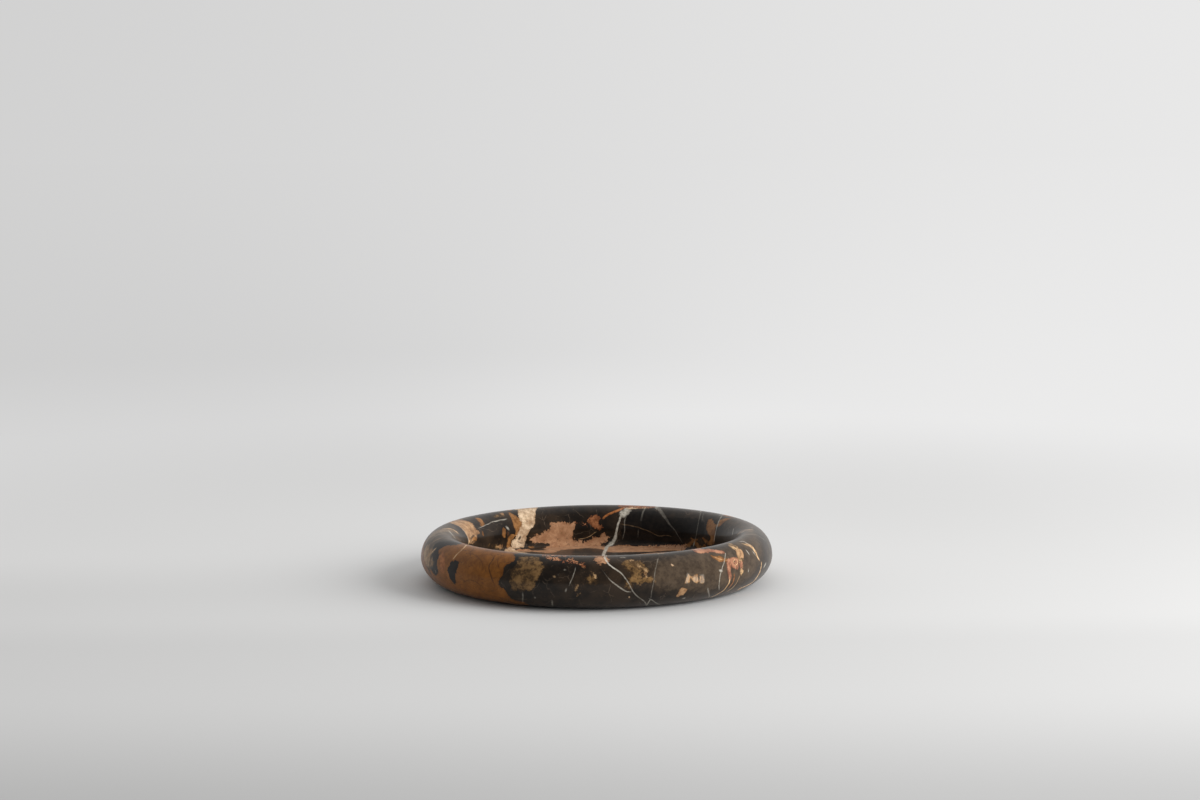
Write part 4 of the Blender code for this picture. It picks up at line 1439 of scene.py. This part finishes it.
@dataclass(frozen=True)
class MarbleFinish:
    """Honed dark brown-black marble, with the patches and veins that its attributes hold."""

    coal: Colour = (0.0085, 0.0058, 0.0040)
    umber: Colour = (0.0290, 0.0180, 0.0105)
    dust: Colour = (0.1100, 0.0600, 0.0300)
    hairline: Colour = (0.1400, 0.1000, 0.0700)
    roughness: float = 0.46
    specular_level: float = 0.08
    coat: float = 0.42
    coat_ior: float = 1.42
    coat_loss: float = 0.14
    coat_roughness: float = 0.11
    edge_mm: Step = (1.3, 0.1)
    edge_depth: float = 0.55
    sheen: float = 0.06
    sheen_roughness: float = 0.4
    sheen_tint: Colour = (1.0, 0.88, 0.76)
    relief: float = 0.00003
    relief_strength: float = 0.6
    cloud_grain: Grain = (26, 5, 0.6)
    patchy_grain: Grain = (7, 4, 0.6)
    fray_grain: Grain = (2.6, 3, 0.6)
    shred_grain: Grain = (0.9, 2, 0.5)
    fine_grain: Grain = (0.45, 3, 0.6)
    ground_step: Step = (0.40, 0.62)
    speck_step: Step = (0.58, 0.68)
    speck_where: Step = (0.45, 0.60)
    speck_strength: float = 0.5
    warp_mm: float = 6
    crack_core: float = 0.25
    crack_mm: float = 13
    crack_width: float = 0.022
    crack_where: Step = (0.46, 0.60)
    crack_strength: float = 0.35
    fine_crack_mm: float = 4.5
    fine_crack_width: float = 0.040
    fine_crack_where: Step = (0.48, 0.58)
    ground_shares: tuple[float, float] = (0.55, 0.45)
    speck_shares: tuple[float, float] = (0.6, 0.4)
    shade_shares: tuple[float, float, float] = (0.48, 0.38, 0.14)
    vein_core: Step = (1.3, 0.6)
    vein_halo: Step = (2.0, 1.2)
    vein_wobble: tuple[float, float] = (1.3, 0.6)
    vein_shares: tuple[float, float] = (0.7, 0.3)
    vein_shade: Step = (0.40, 0.60)
    roughness_swing: float = 0.16
    patch_roughness: float = 0.06
    relief_shares: tuple[float, float, float] = (0.5, 0.5, -0.8)
    tones: dict[Tone, ToneLook] = field(
        default_factory=lambda: {
            # Lighter brown stone, and partly a painted sheen over both ends
            Tone.BROWN_AND_SHEEN: ToneLook((0.034, 0.023, 0.015), (0.085, 0.059, 0.038), 9, 3, 5.0, spread=0.18),
            Tone.OLIVE: ToneLook(
                (0.034, 0.019, 0.0085), (0.215, 0.120, 0.046), 6, 3, 0.6, 0.3, spread=0.11
            ),
            Tone.OCHRE: ToneLook(
                (0.125, 0.042, 0.006), (0.260, 0.096, 0.016), 3, 0.8, cracks=0.6, spread=0.2
            ),
            Tone.SALMON: ToneLook(
                (0.270, 0.128, 0.063), (0.480, 0.262, 0.142), 5.5, 3.4, cracks=0.5, spread=0.17
            ),
            Tone.TAN: ToneLook((0.190, 0.095, 0.042), (0.450, 0.268, 0.135), 3.4, 1.2, cracks=0.4),
            Tone.ORANGE: ToneLook((0.130, 0.052, 0.014), (0.310, 0.145, 0.050), 3, 1.2, cracks=0.3),
            Tone.CREAM: ToneLook((0.330, 0.206, 0.115), (0.705, 0.535, 0.362), 3, 1, cracks=0.4),
            Tone.RUST: ToneLook((0.120, 0.038, 0.014), (0.350, 0.140, 0.058), 5, 2.4, cracks=0.3),
            Tone.GOLD: ToneLook((0.070, 0.038, 0.016), (0.520, 0.328, 0.165), 5, 3, 0.4, spread=0.12),
            Tone.PINK: ToneLook((0.170, 0.065, 0.037), (0.430, 0.205, 0.115), 4, 1.8, 0.25),
            Tone.FLECK: ToneLook(
                (0.160, 0.048, 0.018), (0.620, 0.300, 0.150), 4, 9, 0.2, shrink=1.1, cap=0.9
            ),
            Tone.BLACK: ToneLook((0.0055, 0.0045, 0.0040), (0.0150, 0.0110, 0.0085), 3.6, 2.4, 0.3),
        }
    )
    fills: dict[Fill, FillLook] = field(
        default_factory=lambda: {
            Fill.DARK: FillLook((0.018, 0.010, 0.005), (0.045, 0.022, 0.010)),
            Fill.RUST: FillLook((0.200, 0.063, 0.016), (0.430, 0.158, 0.048)),
            Fill.GOLD: FillLook((0.320, 0.180, 0.078), (0.700, 0.465, 0.250)),
            Fill.WHITE: FillLook((0.300, 0.270, 0.220), (0.560, 0.520, 0.440)),
        }
    )

    def reach(self, board: Board, tone: Tone) -> Wire:
        """Signed distance into a tone's blots, in millimetres, as drawn."""
        return board.attribute(tone.attribute).wire("XYZ"[tone.value % 3])

    def vein(self, board: Board, name: str, wobble: Wire, whole: Wire) -> Wire:
        """Mask of one group of veins.

        Args:
            board: The board to build on.
            name: The group's attribute.
            wobble: How much the edges shift, in half widths.
            whole: Mask of where the filling isn't missing.

        Returns:
            The mask.
        """
        parts = board.attribute(name)
        core = abs(parts.wire("X") + wobble).rise(*self.vein_core)
        return core * parts.wire("Y").rise(*self.vein_halo) * parts.wire("Z") * whole

    def cracks(self, noises: StoneNoises, size_mm: float, width: float, where: Wire) -> Wire:
        """Mask of hairline cracks between cells about size_mm across, where another mask lets them show."""
        edge = noises.board.cells(noises.warped, size_mm, "DISTANCE_TO_EDGE")
        return edge.rise(width, width * self.crack_core) * where

    def ground(self, noises: StoneNoises) -> tuple[Wire, Wire]:
        """The colour of the dark ground with its specks and cracks, and the mask of all its cracks."""
        board, mottle, shred = noises.board, noises.mottle, noises.shred
        tone = weighed(self.ground_shares, noises.clouds, mottle[0]).rise(*self.ground_step)
        colour = board.blend(tone, self.coal, self.umber)
        specks = weighed(self.speck_shares, shred[2], noises.grain).rise(*self.speck_step)
        specks = specks * mottle[1].rise(*self.speck_where)
        colour = board.blend(specks * self.speck_strength, colour, self.dust)
        where = mottle[2].rise(*self.crack_where)
        crack = self.cracks(noises, self.crack_mm, self.crack_width, where)
        where = noises.fray[0].rise(*self.fine_crack_where)
        fine = self.cracks(noises, self.fine_crack_mm, self.fine_crack_width, where)
        return board.blend(crack * self.crack_strength, colour, self.hairline), crack.most(fine)

    def patches(self, noises: StoneNoises, colour: Wire, cracks: Wire) -> tuple[Wire, Wire]:
        """Lays the blots of every tone over a colour.

        Args:
            noises: The stone's noises.
            colour: What the patches lie on.
            cracks: Mask of the cracks in them.

        Returns:
            The colour with the patches, and the mask of all of them.
        """
        board, mottle, fray, shred = noises.board, noises.mottle, noises.fray, noises.shred
        cover = None
        for number, (tone, look) in enumerate(self.tones.items()):
            first, second, third = number % 3, (number + 1) % 3, (number + 2) % 3
            reach = self.reach(board, tone).least(look.cap) + (fray[first] - NOISE_MIDDLE) * look.ragged
            reach = reach + (shred[second] - NOISE_MIDDLE) * look.frayed - look.shrink
            mask = reach.rise(-look.soft, look.soft)
            shade = weighed(self.shade_shares, mottle[third], fray[second], shred[first])
            shade = shade - reach.rise(*self.edge_mm) * self.edge_depth * look.spread
            shade = shade.rise(NOISE_MIDDLE - look.spread, NOISE_MIDDLE + look.spread)
            patch = board.blend(shade, look.dark, look.light)
            if look.cracks:
                patch = board.blend(cracks * look.cracks, patch, self.umber)
            colour = board.blend(mask, colour, patch)
            cover = mask if cover is None else cover.most(mask)
        return colour, cover

    def veins(self, noises: StoneNoises, colour: Wire, groups: dict[Fill, int]) -> tuple[Wire, Wire]:
        """Lays the veins of every filling over a colour.

        Args:
            noises: The stone's noises.
            colour: What the veins lie on.
            groups: How many groups of veins each filling has.

        Returns:
            The colour with the veins, and the mask of all of them.
        """
        board, fray, shred = noises.board, noises.fray, noises.shred
        filled = None
        for fill, look in self.fills.items():
            whole = look.whole(fray[1])
            mask = None
            for number in range(groups[fill]):
                slow, quick = (noise[number % 3] - NOISE_MIDDLE for noise in (fray, shred))
                wobble = weighed(self.vein_wobble, slow, quick)
                part = self.vein(board, f"{fill.value}_{number}", wobble, whole)
                mask = part if mask is None else mask.most(part)
            if mask is not None:
                shade = weighed(self.vein_shares, fray[0], shred[0]).rise(*self.vein_shade)
                colour = board.blend(mask, colour, board.blend(shade, look.dark, look.light))
                filled = mask if filled is None else filled.most(mask)
        return colour, filled

    def make(self, groups: dict[Fill, int]) -> bpy.types.Material:
        """Builds the material.

        Args:
            groups: How many groups of veins each filling has.

        Returns:
            The material.
        """
        material, board, place = new_material("dark_marble")
        patchy = board.noise(place, self.patchy_grain)
        warp = board.scaled(patchy.wire("Color"), self.warp_mm * MM)
        noises = StoneNoises(
            board=board,
            warped=board.vector_maths("ADD", place, warp),
            clouds=board.noise(place, self.cloud_grain).wire(),
            mottle=board.channels(patchy),
            fray=board.channels(board.noise(place, self.fray_grain)),
            shred=board.channels(board.noise(place, self.shred_grain)),
            grain=board.noise(place, self.fine_grain).wire(),
        )
        colour, cracks = self.ground(noises)
        colour, cover = self.patches(noises, colour, cracks)
        colour, filled = self.veins(noises, colour, groups)
        swing = (noises.grain - NOISE_MIDDLE) * self.roughness_swing
        height = weighed(self.relief_shares, noises.grain, noises.shred[1], filled)
        inputs = {
            "Base Color": colour,
            "Roughness": self.roughness + swing + cover * self.patch_roughness,
            "Specular IOR Level": self.specular_level,
            "Coat Weight": self.coat - cover * self.coat_loss,
            "Coat Roughness": self.coat_roughness,
            "Coat IOR": self.coat_ior,
            "Sheen Weight": self.sheen,
            "Sheen Roughness": self.sheen_roughness,
            "Sheen Tint": (*self.sheen_tint, 1),
            "Normal": board.bump(self.relief_strength, self.relief, height),
        }
        board.close("ShaderNodeBsdfPrincipled", inputs)
        return material


@dataclass(frozen=True)
class RubberFinish:
    """Matt black anti-slip rubber with a fine moulded grain."""

    dark: Colour = (0.018, 0.018, 0.019)
    light: Colour = (0.040, 0.039, 0.038)
    grain_mm: float = 0.35
    roughness: float = 0.8
    relief: float = 0.00005
    relief_strength: float = 0.7
    roughness_swing: float = 0.2
    wear_grain: Grain = (3, 4, 0.55)
    wear_step: Step = (0.35, 0.7)

    def make(self) -> bpy.types.Material:
        """Builds the material."""
        material, board, place = new_material("anti_slip_rubber")
        cells = board.cells(place, self.grain_mm)
        worn = board.noise(place, self.wear_grain).wire()
        inputs = {
            "Base Color": board.blend(worn.rise(*self.wear_step), self.dark, self.light),
            "Roughness": self.roughness + (worn - NOISE_MIDDLE) * self.roughness_swing,
            "Normal": board.bump(self.relief_strength, self.relief, cells),
        }
        board.close("ShaderNodeBsdfPrincipled", inputs)
        return material


@dataclass(frozen=True)
class AdhesiveFinish:
    """Milky clear film of adhesive with a few trapped bubbles."""

    film: Colour = (0.60, 0.57, 0.50)
    bubble: Colour = (0.78, 0.76, 0.70)
    roughness: float = 0.35
    transmission: float = 0.55
    bubble_mm: float = 0.8
    bubble_step: Step = (0.30, 0.18)
    bubble_share: float = 0.7
    clear_below: float = 0.4
    roughness_swing: float = 0.3
    cloud_grain: Grain = (2.5, 3, 0.55)

    def make(self) -> bpy.types.Material:
        """Builds the material."""
        material, board, place = new_material("clear_adhesive")
        bubbles = board.cells(place, self.bubble_mm).rise(*self.bubble_step)
        cloudy = board.noise(place, self.cloud_grain).wire()
        milky = (bubbles * self.bubble_share + (cloudy - self.clear_below)).least(1).most(0)
        inputs = {
            "Base Color": board.blend(milky, self.film, self.bubble),
            "Roughness": self.roughness + (cloudy - NOISE_MIDDLE) * self.roughness_swing,
            "Transmission Weight": self.transmission,
        }
        board.close("ShaderNodeBsdfPrincipled", inputs)
        return material


@dataclass(frozen=True)
class PadSet:
    """The four anti-slip pads under the stone, with their films of adhesive."""

    names: tuple[str, ...] = ("foot_pad_1", "foot_pad_2", "foot_pad_3", "foot_pad_4")
    film_inset: float = 0.0004
    film_sides: int = 64

    def dress(self, rubber: bpy.types.Material) -> None:
        """Gives the CAD model's pads their finish."""
        for name in self.names:
            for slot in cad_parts[name].material_slots:
                slot.material = rubber
            LOG.info("%s dressed", name)

    def film_tree(self, adhesive: bpy.types.Material) -> PieceTree:
        """Builds the tree that lays a disc at each corner of a ring.

        Args:
            adhesive: The films' finish.

        Returns:
            The tree.
        """
        low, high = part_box(self.names[0])
        middle = (low + high) / 2
        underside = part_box("stone_body")[0].z
        tree = PieceTree("adhesive_films")
        ring = {
            "Vertices": tree.ask_count("Count", len(self.names)),
            "Radius": tree.ask_number("Ring Radius", math.hypot(middle.x, middle.y)),
        }
        height = tree.ask_number("Height", (high.z + underside) / 2)
        angle = tree.ask_number("First Angle", math.atan2(middle.y, middle.x))
        turn = {
            "Geometry": tree.step("GeometryNodeMeshCircle", ring),
            "Translation": tree.step("ShaderNodeCombineXYZ", {"Z": height}),
            "Rotation": tree.step("ShaderNodeCombineXYZ", {"Z": angle}),
        }
        disc = {
            "Vertices": tree.ask_count("Film Sides", self.film_sides),
            "Radius": tree.ask_number("Film Radius", (high.x - low.x) / 2 - self.film_inset),
            "Depth": tree.ask_number("Film Thickness", underside - high.z),
        }
        lay = {
            "Points": tree.step("GeometryNodeTransform", turn),
            "Instance": tree.step("GeometryNodeMeshCylinder", disc),
        }
        tree.close(tree.step("GeometryNodeInstanceOnPoints", lay), adhesive)
        return tree

    def make_films(self, adhesive: bpy.types.Material) -> None:
        """Adds the films between the pads and the stone."""
        films = self.film_tree(adhesive).bake("adhesive_films")
        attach(films, "root")
        LOG.info("adhesive_films made, %d faces", len(films.data.polygons))


@dataclass(frozen=True)
class Studio:
    """The pale floor and backdrop, and the soft light."""

    floor_size: float = 60.0
    floor_albedo: Colour = (0.590, 0.588, 0.583)
    # Painted shade: the floor darker towards the front
    front_shade: float = 0.24
    front_depth: Step = (-0.27, -0.50)
    near_shade: float = 0.06
    near_depth: Step = (-0.10, -0.18)
    backdrop: float = 0.725
    backdrop_tint: Colour = (1.0, 0.997, 0.995)
    backdrop_swing: float = 0.115
    backdrop_turn: float = 3.6
    fade_reach: Step = (0.22, 0.85)
    # Painted light: the floor lighter behind the tray on the left
    back_light: float = 0.11
    back_depth: Step = (-0.05, 0.10)
    back_reach: Step = (1.6, 0.5)
    back_across: Step = (0.30, -0.10)
    ambient: float = 0.80
    ambient_tint: Colour = (1.0, 1.0, 1.0)
    ambient_slope: Vector = field(default_factory=lambda: Vector((0.14, 0.55, -0.08)))
    front_level: float = 0.28
    mirrored_depth: Step = (-0.3, 0.3)
    key_place: Vector = field(default_factory=lambda: Vector((1.30, -0.55, 0.60)))
    key_size: float = 1.3
    key_power: float = 30.0

    def backdrop_colour(self, board: Board, place: Wire) -> Wire:
        """The seamless backdrop's colour in a direction, paler to the right.

        Args:
            board: The board to build on.
            place: A place or direction, counted from the tray.

        Returns:
            A colour.
        """
        across = board.axes(board.vector_maths("NORMALIZE", place)).wire("X")
        level = self.backdrop + self.backdrop_swing * board.maths("TANH", across * self.backdrop_turn)
        return board.tint(self.backdrop_tint, level)

    def make_world(self) -> None:
        """Sets the world: the backdrop to the camera and in reflections, a plain soft light otherwise."""
        world = bpy.data.worlds.new("studio")
        bpy.context.scene.world = world
        world.use_nodes = True
        board = Board(world.node_tree)
        place = board.node("ShaderNodeTexCoord").wire("Generated")
        seen = self.backdrop_colour(board, place)
        rays = board.node("ShaderNodeLightPath")
        facing = board.vector_maths("DOT_PRODUCT", place, self.ambient_slope, output="Value")
        plain = board.tint(self.ambient_tint, self.ambient + facing)
        depth = board.axes(place).wire("Y").rise(*self.mirrored_depth)
        mirrored = board.scaled(seen, self.front_level + (1 - self.front_level) * depth)
        glossy = rays.wire("Is Glossy Ray").most(rays.wire("Is Transmission Ray"))
        colour = board.blend(glossy, plain, mirrored)
        colour = board.blend(rays.wire("Is Camera Ray"), colour, seen)
        board.close("ShaderNodeBackground", {"Color": colour, "Strength": 1.0}, "ShaderNodeOutputWorld")

    def make_floor(self) -> None:
        """Adds the floor. Its colour holds painted shade, darker towards the front, and painted light,
        lighter behind the tray on the left; away from the tray it fades into a glow in the backdrop's tone,
        which no shadow reaches.
        """
        half = self.floor_size / 2
        mesh = bpy.data.meshes.new("floor")
        corners = [(-half, -half, 0), (half, -half, 0), (half, half, 0), (-half, half, 0)]
        mesh.from_pydata(corners, [], [(0, 1, 2, 3)])
        material, board, place = new_material("floor")
        reach = board.vector_maths("LENGTH", place, output="Value")
        parts = board.axes(place)
        depth, across = parts.wire("Y"), parts.wire("X")
        # Painted shade: the floor darkens towards the front, as the light falls off
        level = 1 - self.front_shade * depth.rise(*self.front_depth)
        level = level - self.near_shade * depth.rise(*self.near_depth)
        # Painted light: the floor behind the tray on its left is lifted, thinning the tray's shadow there
        behind = depth.rise(*self.back_depth) * reach.rise(*self.back_reach)
        level = level + self.back_light * (behind * across.rise(*self.back_across))
        albedo = board.tint(self.floor_albedo, level)
        lit = board.node("ShaderNodeBsdfDiffuse", {}, {"Color": albedo}).wire()
        # Away from the tray the floor glows in the backdrop's tone: painted light that no shadow reaches
        seen = board.scaled(self.backdrop_colour(board, place), level)
        far = board.node("ShaderNodeEmission", {}, {"Color": seen}).wire()
        board.close("ShaderNodeMixShader", {0: reach.rise(*self.fade_reach), 1: lit, 2: far})
        mesh.materials.append(material)
        floor = bpy.data.objects.new("floor", mesh)
        bpy.context.scene.collection.objects.link(floor)

    def make_key(self) -> None:
        """Adds the large soft lamp on the right."""
        data = bpy.data.lights.new("key", "AREA")
        data.shape = "DISK"
        data.size = self.key_size
        data.energy = self.key_power
        lamp = bpy.data.objects.new("key", data)
        lamp.location = self.key_place
        lamp.rotation_mode = "QUATERNION"
        lamp.rotation_quaternion = (-self.key_place).to_track_quat("-Z", "Y")
        lamp.visible_glossy = False
        bpy.context.scene.collection.objects.link(lamp)

    def make(self) -> None:
        """Sets up the whole stage."""
        self.make_world()
        self.make_floor()
        self.make_key()
        bpy.context.scene.view_settings.view_transform = "Standard"
        LOG.info("stage ready")


def make_stone(camera: PhotoCamera) -> None:
    """Builds the turned stone and its veining, in place of the CAD model's plain one."""
    low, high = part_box("stone_body")
    section = Section(radius=high.x, underside=low.z, crest=high.z)
    stone = TurnedSolid(section, TURN_STEPS).bake("turned_stone")
    chart = StoneChart(section, camera, stone)
    veining = Veining(chart, VEINING_SEED)
    for blot in SEEN_BLOTS:
        veining.draw_blot(blot)
    for vein in SEEN_VEINS:
        veining.draw_vein(vein)
    HiddenSides(veining).draw()
    groups = veining.store(stone.data)
    stone.data.materials.clear()
    stone.data.materials.append(MarbleFinish().make(groups))
    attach(stone, "root")
    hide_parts("stone_body")
    LOG.info("turned_stone made, %d faces", len(stone.data.polygons))


def main() -> None:
    """Builds the tray and its stage."""
    logging.basicConfig(level=logging.INFO, format="%(name)s: %(message)s")
    camera = PhotoCamera()
    camera.make()
    Studio().make()
    make_stone(camera)
    pads = PadSet()
    pads.dress(RubberFinish().make())
    pads.make_films(AdhesiveFinish().make())


if __name__ == "__main__":
    main()
